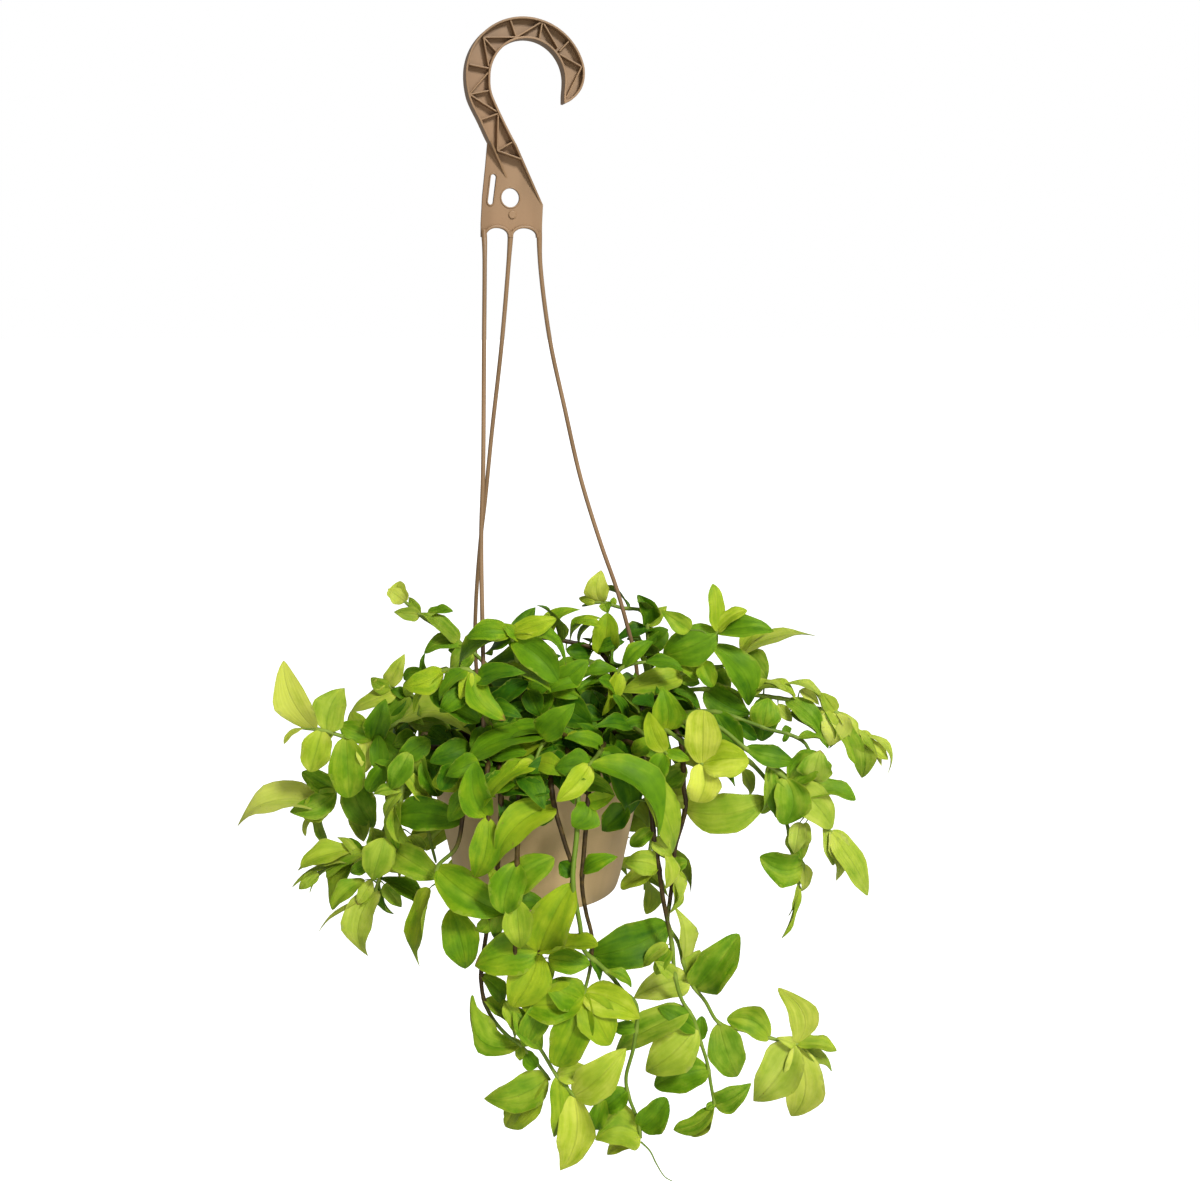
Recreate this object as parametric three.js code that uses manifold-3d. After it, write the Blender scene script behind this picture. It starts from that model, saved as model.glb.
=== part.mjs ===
// A hanging pot of trailing tradescantia: one plastic hanger moulding with a ribbed hook
// and three wires, a tapered plastic pot, the soil, and the shoots that climb out of it.
//
// Millimetres, +Z up. The origin is the seat of the hook, the inner top of its ring, where
// the object hangs. +X is to the right and -Y towards the viewer of the reference view.

import * as THREE from 'three';
import { mergeVertices } from 'three/addons/utils/BufferGeometryUtils.js';
import Module from 'manifold-3d';

const wasm = await Module();
wasm.setup();

// ---------------------------------------------------------------- driving dimensions

const CLEARANCE = 0.3;              // air between two pieces that touch

const HOOK_TURN = 16;               // degrees the hook is turned away from the viewer
const HOOK_DEPTH = 10;              // of the U-shaped channel, front to back
const WEB = 2.2;                    // wall at the back of the channel
const EDGE = 1.6;                   // walls along the channel's edges
const RIB = 1.1;                    // bracing ribs inside the channel
const RIB_HEIGHT = 8.6;
const HOOK_BORE = 24.3;             // radius of the hook's inside
const RING = { x: -1, y: -23.5, rx: 39.1, ry: 36.5 };   // the hook's outer edge
const WIRE_RADIUS = 1.3;

const POT_X = 3;                    // the pot's axis, beside the hook's seat
const RIM_Z = -460;
const POT_HEIGHT = 108;
const RIM_RADIUS = 82.5;            // over the lip
const MOUTH_RADIUS = 79;            // outside of the wall, under the lip
const BASE_RADIUS = 57;
const POT_WALL = 1.8;
const LUG_ANGLES = [244, 128, 10];  // left, back and right wire
const LUG_INSET = 6;                // from the outside of the wall to a wire
const LUG_HOLE = 1.7;
const BUTTON_RADIUS = 2.4;
const DRAIN_RADIUS = 4;

const SOIL_TOP = RIM_Z - 12;
const SOCKET_DEPTH = 6;             // how deep a shoot stands in the soil

const STEM_RADIUS = 1.35;
const STEM_SIDES = 4;
const STEM_STEP = 20;               // length of one straight stretch of a stem
const LEAF_THICKNESS = 1.4;
const LEAF_PROPORTION = 0.46;       // width over length of a full-grown leaf

// ---------------------------------------------------------------- the reference view

// The photograph's camera. Places in the shoot tables are picture points, [u, v] in its
// 1200 x 1200 frame, with `near`, the millimetres a point lies in front of the pot's axis.
const VIEW = {
  place: new THREE.Vector3(47, -979.6, -162.2),
  tilt: THREE.MathUtils.degToRad(11.6),     // looking down
  focal: 1460,                              // in picture points
  centre: 600,
};

/** The point in space that the picture shows at [u, v], `near` mm in front of the axis. */
function seen(u, v, near) {
  const across = (u - VIEW.centre) / VIEW.focal;
  const upward = (VIEW.centre - v) / VIEW.focal;
  const sight = new THREE.Vector3(
    across,
    Math.cos(VIEW.tilt) + upward * Math.sin(VIEW.tilt),
    -Math.sin(VIEW.tilt) + upward * Math.cos(VIEW.tilt),
  );
  return sight.multiplyScalar((-near - VIEW.place.y) / sight.y).add(VIEW.place);
}

// ---------------------------------------------------------------- the shoots

// Each shoot: name, where it stands on the soil [x, y], the line it follows as
// [u, v, near], and its leaves. A leaf is [place along the line, tip u, tip v, how far its
// tip comes forward in mm, seen width, sideways bow, tone]; the last three are in picture
// points and from 0, deep green, to 1, pale yellow-green.
const SHOOTS = [
  ['left_high', [-38, -6],
    [[447, 722, 2], [424, 715, 14], [400, 722, 24], [372, 738, 32], [346, 737, 36], [322, 730, 38], [301, 728, 38]],
    [[2, 469, 728, 22, 26, 10, 0.55], [3, 413, 768, 12, 34, 0, 0.3], [4, 349, 798, 4, 36, 0, 0.5],
      [3.2, 366, 772, 10, 20, 0, 0.85], [3, 350, 711, -10, 20, 3, 0.6], [4.8, 345, 687, -14, 34, 0, 0.45],
      [5.3, 281, 663, 4, 30, -3, 0.95], [5, 310, 772, 8, 30, 0, 0.72], [4.5, 312, 768, -4, 6, 0, 0.5],
      [6, 283, 743, 6, 5, 0, 0.85]]],
  ['left_low', [-46, 18],
    [[440, 722, -8], [414, 726, -2], [384, 748, 6], [352, 780, 14], [333, 793, 18], [319, 806, 20], [312, 815, 20]],
    [[4.8, 234, 820, 6, 30, 3, 0.78], [3.8, 290, 812, 14, 26, 6, 0.35], [4.6, 305, 820, 8, 26, 0, 0.7],
      [5.5, 326, 850, 2, 12, 3, 0.35], [6, 304, 836, 4, 5, 0, 0.75], [4, 312, 770, -8, 14, 0, 0.35],
      [3, 374, 828, 8, 34, -4, 0.25]]],
  ['left_drop', [-50, -8],
    [[442, 736, 26], [416, 742, 36], [398, 762, 42], [394, 795, 42], [386, 825, 42], [372, 850, 42], [357, 862, 42]],
    [[6, 296, 866, 4, 22, -3, 0.65], [5.8, 338, 836, -4, 12, 0, 0.6], [5.5, 345, 840, -10, 14, 0, 0.35],
      [5, 440, 872, 14, 34, 3, 0.55], [5.2, 325, 876, 8, 16, -3, 0.5], [4.9, 332, 910, 8, 17, -4, 0.6],
      [5.6, 306, 890, 2, 10, 0, 0.45], [5.9, 291, 885, 6, 5, 0, 0.7], [4.6, 371, 829, 6, 24, 0, 0.4]]],
  ['left_drop_near', [-44, -30],
    [[446, 748, 46], [424, 750, 58], [406, 772, 64], [399, 815, 64], [390, 850, 62], [380, 878, 60], [374, 896, 60]],
    [[5.6, 364, 959, 6, 30, -4, 0.55], [5, 429, 905, 8, 15, -3, 0.25], [5.1, 393, 915, -4, 7, 0, 0.2],
      [6, 313, 928, 4, 5, 3, 0.7], [5.9, 352, 912, 2, 9, 0, 0.6], [3, 462, 821, 20, 34, 4, 0.25],
      [1.2, 436, 797, 8, 14, 3, 0.35], [2, 431, 807, 4, 16, -3, 0.6], [2.4, 372, 793, 0, 13, 0, 0.4]]],
  ['front_brown', [-20, -50],
    [[500, 750, 66], [500, 772, 90], [501, 810, 98], [498, 860, 102], [496, 895, 102], [490, 915, 102], [485, 942, 100],
      [481, 975, 98], [484, 1000, 98], [493, 1019, 98], [508, 1036, 98], [520, 1045, 98], [534, 1060, 98], [550, 1080, 98]],
    [[11, 471, 996, 6, 24, 22, 0.4], [11, 520, 1061, 4, 10, 0, 0.45], [11.4, 538, 1067, 0, 16, -3, 0.15],
      [13, 483, 1099, 6, 34, 3, 0.4], [13, 503, 1125, 0, 19, 3, 0.6], [4, 554, 858, 10, 34, 3, 0.5],
      [5, 548, 903, 6, 24, 3, 0.2], [5, 477, 932, 0, 16, 3, 0.45], [8, 520, 1038, 2, 14, 0, 0.35],
      [7, 505, 1004, -6, 16, 0, 0.3]]],
  ['front_second', [-4, -54],
    [[524, 752, 68], [520, 776, 94], [518, 830, 106], [516, 900, 110], [515, 960, 108], [514, 1008, 106],
      [522, 1026, 106], [541, 1050, 106], [557, 1076, 106], [576, 1098, 106]],
    [[9, 560, 1171, 6, 38, -4, 0.88], [9, 624, 1050, 4, 38, -4, 0.72], [8, 556, 1138, 6, 22, 0, 0.55],
      [8, 591, 1068, -6, 20, 0, 0.6], [5, 543, 1050, 4, 22, -3, 0.35]]],
  ['front_left', [-34, -38],
    [[478, 748, 52], [468, 766, 80], [463, 815, 92], [456, 848, 94], [437, 868, 96], [443, 895, 94], [452, 910, 92]],
    [[4, 503, 912, 10, 40, -5, 0.45], [6, 466, 971, 4, 36, 6, 0.35], [1, 432, 785, 6, 28, 4, 0.65]]],
  ['front_left_upright', [-28, -46],
    [[488, 746, 58], [488, 766, 86], [485, 790, 96], [488, 817, 100], [491, 850, 102], [489, 869, 102]],
    [[3, 474, 763, 4, 32, 8, 0.4], [3, 474, 880, 6, 32, 5, 0.45], [5, 497, 888, 2, 10, 0, 0.6]]],
  ['front_mid', [6, -50],
    [[547, 750, 64], [550, 776, 92], [554, 805, 104], [564, 840, 106], [573, 875, 106], [562, 910, 106],
      [548, 935, 106], [539, 952, 106], [545, 962, 106]],
    [[7, 572, 884, 6, 36, 3, 0.65], [7, 474, 966, 4, 42, -4, 0.4], [7, 512, 1008, 8, 42, 4, 0.65],
      [7, 598, 946, 6, 17, -2, 0.5], [8, 552, 981, 2, 9, 0, 0.5], [4, 560, 862, -2, 18, 0, 0.1],
      [2, 493, 864, 8, 36, -9, 0.5], [1.6, 508, 800, -4, 24, 0, 0.08]]],
  ['front_pale', [16, -44],
    [[566, 750, 66], [577, 780, 92], [577, 830, 100], [573, 880, 112], [580, 925, 112], [584, 950, 108], [600, 965, 104],
      [612, 977, 102], [622, 990, 102], [636, 1004, 102], [634, 1045, 102], [626, 1078, 102], [629, 1097, 102],
      [638, 1121, 102], [641, 1138, 102]],
    [[11.6, 602, 1110, 2, 24, 0, 0.3], [14, 596, 1140, 6, 40, -6, 0.5], [14, 606, 1153, 0, 10, 0, 0.78],
      [13.4, 667, 1098, 4, 28, 3, 0.35], [6.5, 633, 986, 0, 10, 0, 0.35], [5.5, 601, 981, -6, 10, 0, 0.1],
      [9.6, 609, 1028, -4, 14, 0, 0.1]]],
  ['front_right_mid', [22, -50],
    [[584, 752, 66], [589, 777, 94], [588, 803, 100], [584, 850, 102], [582, 885, 104], [586, 912, 104],
      [592, 938, 104], [590, 968, 106], [583, 997, 108]],
    [[8, 520, 1004, 4, 38, 5, 0.55], [8, 641, 1019, 4, 34, 4, 0.65], [8, 611, 1046, 8, 38, 0, 0.6],
      [7.8, 556, 1067, 6, 38, 3, 0.55], [3.6, 616, 856, 6, 17, 0, 0.3], [2, 573, 827, 8, 30, 6, 0.35],
      [2, 614, 796, 2, 18, 0, 0.4]]],
  ['right_front', [34, -40],
    [[603, 744, 60], [600, 752, 84], [589, 765, 106]],
    [[2, 660, 838, 4, 36, 12, 0.35], [2, 555, 768, 4, 32, 0, 0.3], [2, 557, 801, 6, 25, 3, 0.7],
      [0.8, 629, 768, 4, 16, 3, 0.35], [1, 629, 822, -8, 30, 5, 0.05]]],
  ['right_long', [53, -12],
    [[642, 716, 18], [664, 718, 34], [679, 736, 44], [683, 762, 48], [684, 790, 48], [686, 803, 48], [683, 820, 48],
      [675, 848, 50], [674, 870, 50], [670, 900, 52], [668, 925, 52], [678, 942, 52], [684, 965, 52], [691, 983, 52],
      [705, 1001, 52], [719, 1023, 52], [745, 1031, 52], [770, 1038, 52], [800, 1045, 52]],
    [[5.4, 768, 800, 12, 40, 5, 0.55], [5, 671, 800, 0, 14, 0, 0.5], [3, 669, 788, -8, 22, 0, 0.35],
      [7.8, 687, 861, 2, 15, 0, 0.4], [7.8, 674, 915, 4, 10, 0, 0.6], [10, 588, 953, 18, 40, -9, 0.2],
      [11.8, 680, 908, 0, 17, 0, 0.6], [12.6, 700, 950, -6, 19, 0, 0.6], [13.3, 739, 935, 6, 38, -5, 0.4],
      [12.8, 634, 998, 8, 32, -4, 0.6], [15, 738, 1078, 6, 34, 5, 0.4], [17, 727, 1018, -4, 28, 5, 0.55],
      [18, 778, 1038, 6, 11, 0, 0.7], [18, 779, 989, 2, 29, -12, 0.85], [17.8, 752, 1103, 8, 42, 5, 0.55],
      [18, 791, 1119, 6, 38, 8, 0.85], [18, 837, 1050, 2, 15, 0, 0.6], [18, 836, 1068, -6, 13, -3, 0.45]]],
  ['right_inner', [44, -36],
    [[625, 742, 52], [640, 754, 74], [649, 790, 80], [654, 838, 80], [659, 868, 80], [663, 898, 76], [672, 945, 74],
      [675, 975, 74], [682, 1000, 74], [693, 1018, 74], [700, 1040, 74], [707, 1062, 74], [711, 1085, 74],
      [715, 1107, 74]],
    [[1.6, 676, 853, -6, 32, 3, 0.3], [3, 672, 857, 2, 17, 0, 0.5], [4, 625, 862, 4, 26, -3, 0.5],
      [4, 620, 888, -2, 17, 3, 0.72], [7, 656, 962, 4, 15, 0, 0.5], [9.6, 660, 1007, 4, 20, 0, 0.2],
      [10, 702, 1016, -4, 13, 0, 0.3], [9.4, 645, 1072, 8, 42, 4, 0.6], [11.3, 654, 1086, 4, 34, 7, 0.35],
      [13, 750, 1084, 4, 18, 3, 0.3], [13, 672, 1128, 4, 16, -3, 0.4], [13, 688, 1134, -2, 14, 4, 0.75],
      [8.6, 613, 1049, 10, 33, 4, 0.4], [12.8, 706, 1110, 2, 8, 0, 0.4]]],
  ['right_yellow', [45, -24],
    [[630, 722, 38], [655, 724, 54], [682, 742, 66], [705, 767, 72]],
    [[3, 703, 711, 4, 40, 0, 0.92], [3, 697, 805, 6, 32, 3, 0.9], [3, 749, 763, 8, 36, 3, 0.7],
      [3, 736, 786, -4, 11, 0, 0.3], [1.4, 662, 689, 4, 36, -4, 0.4]]],
  ['right_bud', [30, -30],
    [[628, 728, 50], [648, 738, 72], [667, 754, 90]],
    [[2, 649, 713, 6, 22, 3, 0.7], [1.2, 632, 753, 0, 18, 0, 0.35], [2, 690, 760, 2, 12, 0, 0.4],
      [1.9, 652, 782, 2, 22, 0, 0.32]]],
  ['right_top', [26, 2],
    [[632, 700, 0], [655, 690, 6], [682, 674, 10], [702, 661, 14], [712, 645, 16], [718, 630, 16]],
    [[5, 715, 584, 2, 15, 0, 0.6], [5, 747, 610, 4, 15, 2, 0.75], [4.8, 773, 628, 8, 20, 4, 0.25],
      [5, 663, 656, -4, 40, 3, 0.35], [2, 621, 689, 12, 28, 4, 0.5], [4, 755, 706, -4, 34, 4, 0.4],
      [3, 713, 687, 8, 20, 0, 0.5], [1, 702, 706, 6, 16, 0, 0.12]]],
  ['right_top_far', [34, 26],
    [[640, 690, -26], [672, 672, -20], [705, 668, -14], [733, 663, -10], [742, 650, -8]],
    [[4, 816, 632, 4, 17, 5, 0.7], [4, 769, 628, 0, 15, 3, 0.7], [4, 767, 679, 8, 25, 4, 0.35],
      [3.4, 714, 648, 2, 16, 0, 0.4]]],
  ['right_arm', [52, 14],
    [[640, 706, -10], [668, 694, -4], [705, 689, 0], [745, 694, 2], [790, 700, 2], [816, 708, 2], [836, 712, 2],
      [852, 724, 2], [862, 735, 2]],
    [[3, 763, 689, 4, 10, 0, 0.6], [3, 796, 695, 8, 11, 3, 0.65], [5.3, 788, 681, 4, 10, -3, 0.55],
      [6, 822, 693, 2, 16, 0, 0.65], [6, 829, 746, 8, 32, 3, 0.78], [7.4, 862, 779, 4, 24, 5, 0.45],
      [7.7, 889, 759, 2, 13, 3, 0.82], [2, 751, 714, 10, 30, -4, 0.1], [3.9, 823, 738, 10, 22, 4, 0.35],
      [5.4, 829, 749, 0, 9, 4, 0.2], [8, 891, 774, -2, 5, 6, 0.6]]],
  ['right_arm_low', [58, 4],
    [[650, 724, 10], [678, 714, 16], [715, 712, 22], [748, 722, 26], [772, 730, 28], [788, 734, 28], [804, 742, 28],
      [812, 757, 28]],
    [[3.6, 768, 698, -4, 32, 0, 0.38], [5, 783, 742, 2, 6, 0, 0.3], [5, 785, 725, -2, 10, 0, 0.2],
      [7, 816, 787, 6, 36, 0, 0.42], [5.6, 829, 741, 0, 7, 0, 0.3], [2, 742, 757, 12, 30, 0, 0.12]]],
  ['right_fall', [56, -22],
    [[648, 734, 30], [672, 724, 46], [712, 724, 54], [745, 748, 58], [771, 767, 58], [790, 782, 58], [806, 802, 58],
      [818, 822, 58], [832, 832, 58]],
    [[3, 795, 761, 2, 20, 3, 0.15], [4.7, 784, 825, 8, 36, 9, 0.42], [4, 781, 820, -6, 22, -2, 0.12],
      [5, 833, 829, 6, 28, 4, 0.6], [5.6, 856, 799, 0, 20, 3, 0.45], [7.4, 836, 866, 2, 15, -3, 0.5],
      [8, 870, 895, 4, 28, 6, 0.65], [8, 841, 882, 0, 14, 0, 0.55], [3.9, 762, 815, -8, 16, 0, 0.4],
      [5, 818, 752, -6, 30, 0, 0.38]]],
  ['right_fall_far', [61, -4],
    [[652, 738, 16], [680, 732, 28], [725, 744, 40], [760, 772, 42], [778, 800, 42], [788, 828, 42], [792, 853, 42],
      [803, 864, 42], [798, 887, 42]],
    [[5.2, 802, 860, 6, 22, 3, 0.45], [7, 760, 857, 6, 34, 9, 0.4], [7, 804, 893, -2, 12, 0, 0.62],
      [8, 790, 917, 2, 10, 0, 0.5], [8, 782, 939, -2, 6, 3, 0.6]]],
  ['top_left_spray', [-24, 8],
    [[505, 692, -30], [488, 667, -32], [470, 650, -34], [452, 638, -36], [436, 626, -36], [420, 615, -36],
      [403, 600, -36]],
    [[6, 388, 589, 2, 17, 0, 0.85], [6, 399, 581, -4, 20, 0, 0.85], [5, 394, 612, 4, 15, 0, 0.45],
      [5, 409, 597, -2, 10, 0, 0.5], [4.6, 453, 611, 4, 10, 2, 0.4], [2.6, 423, 611, 6, 18, 3, 0.42],
      [2.3, 424, 652, 6, 16, -6, 0.35], [2, 450, 669, 6, 24, 0, 0.3]]],
  ['top_mid_left', [-8, -28],
    [[524, 706, 44], [519, 672, 56], [514, 646, 62], [511, 631, 64]],
    [[3, 466, 638, 4, 22, -6, 0.35], [3, 556, 619, 4, 22, 5, 0.65], [2.8, 452, 670, -34, 20, -4, 0.3],
      [2.5, 489, 654, -24, 14, 0, 0.15], [2.4, 558, 681, 8, 32, 5, 0.35], [2.7, 569, 661, 2, 11, 6, 0.3]]],
  ['top_brown', [10, 24],
    [[612, 690, -12], [604, 656, -10], [590, 647, -8], [570, 642, -6], [545, 638, -4], [520, 636, -2]],
    [[3, 600, 616, -2, 7, 4, 0.5], [2.6, 596, 622, 2, 7, 3, 0.5], [4, 578, 607, -4, 16, 5, 0.45],
      [1.6, 624, 641, 4, 13, 0, 0.15], [1, 608, 613, 0, 28, 0, 0.6], [4.6, 548, 617, 2, 16, 0, 0.6]]],
  ['top_right_bud', [18, 40],
    [[648, 680, -40], [648, 650, -42], [647, 625, -42], [642, 611, -42], [622, 608, -42], [600, 602, -42],
      [582, 606, -42]],
    [[5, 601, 571, 2, 25, 0, 0.78], [5.2, 579, 598, 2, 10, 0, 0.7], [4.8, 608, 613, 4, 13, 0, 0.35],
      [4.4, 614, 597, -2, 7, 0, 0.5], [2, 638, 595, 6, 19, -7, 0.22], [2, 667, 606, -2, 15, 0, 0.5],
      [1.5, 668, 630, 6, 15, 0, 0.22]]],
  ['crown_left', [-22, -22],
    [[484, 712, 70], [478, 690, 76], [471, 671, 78], [448, 670, 76], [424, 676, 72]],
    [[2, 508, 718, 12, 24, -14, 0.5], [2, 460, 699, 8, 14, 0, 0.72], [3, 471, 723, -16, 34, 8, 0.2],
      [3.2, 403, 687, 6, 26, 4, 0.55], [3.8, 403, 679, -6, 14, -4, 0.3], [3.9, 423, 653, 0, 6, 0, 0.25],
      [3, 411, 711, 4, 6, 0, 0.55]]],
  ['crown_left_low', [-36, 30],
    [[445, 712, -24], [425, 702, -18], [408, 694, -14], [392, 688, -12], [384, 681, -10]],
    [[3.4, 404, 655, 2, 18, 0, 0.62], [3, 371, 678, 4, 16, 3, 0.5], [4, 372, 687, 2, 12, 0, 0.9],
      [2, 391, 690, 4, 12, 0, 0.15], [1.4, 389, 721, 8, 20, 4, 0.1], [2, 371, 731, 6, 28, 4, 0.2],
      [2.6, 349, 711, 6, 20, 3, 0.65]]],
  ['crown_mid', [6, -20],
    [[545, 736, 24], [556, 714, 34], [551, 691, 40], [557, 672, 42]],
    [[2, 512, 684, 8, 14, 0, 0.6], [2, 490, 679, 0, 24, 4, 0.1], [3, 480, 673, 10, 15, -6, 0.35],
      [3, 522, 655, 2, 13, 0, 0.55], [2, 588, 661, 4, 26, 0, 0.35], [2.2, 581, 698, 8, 16, 0, 0.35],
      [1.6, 592, 724, 8, 34, 0, 0.08], [1.2, 539, 736, 10, 26, 0, 0.3], [2.2, 508, 742, -4, 36, 0, 0.12]]],
  ['crown_front', [12, -32],
    [[562, 744, 44], [565, 736, 60], [556, 734, 74], [542, 745, 84], [534, 766, 92]],
    [[1.8, 499, 766, 16, 20, 2, 0.6], [2, 465, 757, 10, 20, 3, 0.3], [2, 529, 759, 8, 14, 0, 0.5],
      [1.6, 496, 739, 6, 20, 0, 0.25], [4, 566, 775, 6, 22, 5, 0.55], [4, 502, 786, 8, 28, 4, 0.68],
      [4, 482, 804, 6, 22, 0, 0.48], [1, 593, 752, 14, 11, 0, 0.65]]],
  ['crown_right', [20, -14],
    [[606, 728, 20], [612, 700, 26], [618, 671, 30], [632, 664, 30], [646, 662, 30]],
    [[2, 606, 717, 8, 15, -3, 0.58], [1.6, 580, 686, 6, 12, 0, 0.35], [2, 579, 678, 2, 12, 0, 0.35],
      [4, 684, 668, 4, 12, 0, 0.2], [0.2, 591, 716, 6, 14, 0, 0.3], [0.3, 646, 723, 8, 18, 4, 0.3],
      [2.4, 652, 640, -4, 16, 0, 0.3]]],
];

// ---------------------------------------------------------------- solids

const WELD = 1e-4;
const SLIVER = 0.05;                // shortest edge worth keeping

/** A closed geometry as a solid that can be joined and cut. */
function solidOf(geometry, matrix) {
  const bare = geometry.clone();
  if (matrix) bare.applyMatrix4(matrix);
  bare.deleteAttribute('normal');
  bare.deleteAttribute('uv');
  const merged = mergeVertices(bare, WELD);
  return new wasm.Manifold(new wasm.Mesh({
    numProp: 3,
    vertProperties: new Float32Array(merged.attributes.position.array),
    triVerts: new Uint32Array(merged.index.array),
  }));
}

function geometryOf(solid) {
  const mesh = solid.getMesh();
  const geometry = new THREE.BufferGeometry();
  geometry.setAttribute('position', new THREE.BufferAttribute(mesh.vertProperties, 3));
  geometry.setIndex(new THREE.BufferAttribute(mesh.triVerts, 1));
  geometry.computeVertexNormals();
  return geometry;
}

function joined(solids) {
  return solids.reduce((all, one) => all.add(one));
}

/** The largest of the separate bodies in a solid, without its slivers. */
function mainBody(solid) {
  const bodies = solid.simplify(SLIVER).decompose();
  return bodies.reduce((a, b) => (b.volume() > a.volume() ? b : a));
}

function plate(shape, from, to, curveSegments = 10) {
  const geometry = new THREE.ExtrudeGeometry(shape, { depth: to - from, bevelEnabled: false, curveSegments });
  return solidOf(geometry, new THREE.Matrix4().makeTranslation(0, 0, from));
}

/** A round rod along a curve. */
function rod(curve, radius, sides, steps) {
  const section = new THREE.Shape();
  for (let i = 0; i < sides; i += 1) {
    const a = (2 * Math.PI * i) / sides;
    section[i ? 'lineTo' : 'moveTo'](radius * Math.cos(a), radius * Math.sin(a));
  }
  section.closePath();
  return solidOf(new THREE.ExtrudeGeometry(section, { extrudePath: curve, steps }));
}

function cylinder(radius, x, y, from, to, sides = 20) {
  const geometry = new THREE.CylinderGeometry(radius, radius, to - from, sides);
  const matrix = new THREE.Matrix4().makeTranslation(x, y, (from + to) / 2)
    .multiply(new THREE.Matrix4().makeRotationX(Math.PI / 2));
  return solidOf(geometry, matrix);
}

function material(color, roughness) {
  return new THREE.MeshStandardMaterial({ color, roughness, metalness: 0 });
}

function named(name, solid, look) {
  const mesh = new THREE.Mesh(geometryOf(solid), look);
  mesh.name = name;
  return mesh;
}

// ---------------------------------------------------------------- hanger

// The flat part of the moulding is drawn in its own plane: x across, y up from the seat,
// z from the back, -HOOK_DEPTH / 2, to the open front.
const BACK = -HOOK_DEPTH / 2;
const FRONT = HOOK_DEPTH / 2;
const LEG_OUTER = [[-39.8, -29.7], [-38.4, -36.8], [-36.5, -41.5], [-31.5, -51], [-27.2, -60], [-25.3, -63.6]];
const LEG_INNER = [[-24.3, -29], [-23.4, -34], [-20.4, -41], [-16.6, -48.7], [-10.9, -59.5], [-7.7, -65]];
const PLATE_LEFT = [[-26.8, -77.7], [-29.1, -96.2], [-30.3, -113], [-30.5, -122]];
const PLATE_RIGHT = [[11.1, -101.1], [10.4, -113], [10.2, -122]];
const TIP_INNER = [[23.6, -38], [23.7, -33], [24.1, -28.5]];
const TIP_OUTER = [[24.6, -38.4], [27.6, -36.9], [30.2, -35], [32.6, -32.7], [34.7, -30], [36.2, -27], [37.1, -23.8], [37.5, -20]];
const RING_START = 12;              // degrees round the ring where the tip's edge joins it
const ARCHES = [{ x: -20, half: 7.4 }, { x: -1.7, half: 8 }];
const ARCH_SPRING = -121;
const ARCH_RISE = 5;
const EYE = { x: -10.7, y: -97.1, r: 5.9 };
const BOSS = { x: -9.6, y: -107.7, r: 2.6 };
const SLOT = [[-21.7, -84.4], [-23.9, -99.8]];
const SLOT_WIDTH = 3.5;
const RIBS = [
  [[-28.2, -0.5], [-7, 0.6]], [[-28.2, -0.5], [-19.3, -9.4]], [[-28.2, -0.5], [-25, -17.7]],
  [[-7, 0.6], [-10.7, 10.6]], [[-7, 0.6], [10, 10.8]], [[10, 10.8], [8, 0.4]], [[10, 10.8], [20, -4.6]],
  [[21, -6.6], [28, 0.4]], [[21, -8.4], [35.7, -15.4]], [[35.7, -15.4], [25.6, -34.6]],
  [[-37.6, -17], [-24.6, -18.9]], [[-24.6, -20.5], [-37.6, -34.6]], [[-37.6, -35], [-24, -32]],
  [[-37.6, -35], [-20, -45]], [[-19, -45.8], [-31, -50.2]], [[-19.4, -45.8], [-20.2, -68.6]],
  [[-20.2, -68.6], [-9.6, -62.6]], [[-20.2, -68.6], [-4.6, -73.4]],
];

function ringPoint(degrees, inset) {
  const a = THREE.MathUtils.degToRad(degrees);
  return [RING.x + (RING.rx - inset) * Math.cos(a), RING.y + (RING.ry - inset) * Math.sin(a)];
}

function borePoint(degrees, outset) {
  const a = THREE.MathUtils.degToRad(degrees);
  return [(HOOK_BORE + outset) * Math.cos(a), -HOOK_BORE + (HOOK_BORE + outset) * Math.sin(a)];
}

/** Whole degrees from one angle to another, end included. */
function sweep(from, to, count) {
  return Array.from({ length: count + 1 }, (_, i) => from + ((to - from) * i) / count);
}

/** A wall of even width that follows a line of points. */
function wallAlong(points, width, from, to) {
  const line = points.map(([x, y]) => new THREE.Vector2(x, y));
  const sides = line.map((p, i) => {
    const before = line[Math.max(i - 1, 0)];
    const after = line[Math.min(i + 1, line.length - 1)];
    const across = after.clone().sub(before).normalize().rotateAround(new THREE.Vector2(), Math.PI / 2);
    return across.multiplyScalar(width / 2);
  });
  const outline = [
    ...line.map((p, i) => p.clone().add(sides[i])),
    ...line.map((p, i) => p.clone().sub(sides[i])).reverse(),
  ];
  return plate(new THREE.Shape(outline), from, to);
}

/** A straight wall whose height over the back changes from one end to the other. */
function fin([x0, y0], [x1, y1], height0, height1, width) {
  const length = Math.hypot(x1 - x0, y1 - y0);
  const profile = new THREE.Shape([
    new THREE.Vector2(0, 0), new THREE.Vector2(length, 0),
    new THREE.Vector2(length, height1), new THREE.Vector2(0, height0),
  ]);
  const along = new THREE.Vector3(x1 - x0, y1 - y0, 0).normalize();
  const outward = new THREE.Vector3(0, 0, 1);
  const across = along.clone().cross(outward);
  const matrix = new THREE.Matrix4().makeTranslation(x0, y0, BACK)
    .multiply(new THREE.Matrix4().makeBasis(along, outward, across))
    .multiply(new THREE.Matrix4().makeTranslation(0, 0, -width / 2));
  return solidOf(new THREE.ExtrudeGeometry(profile, { depth: width, bevelEnabled: false }), matrix);
}

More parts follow.
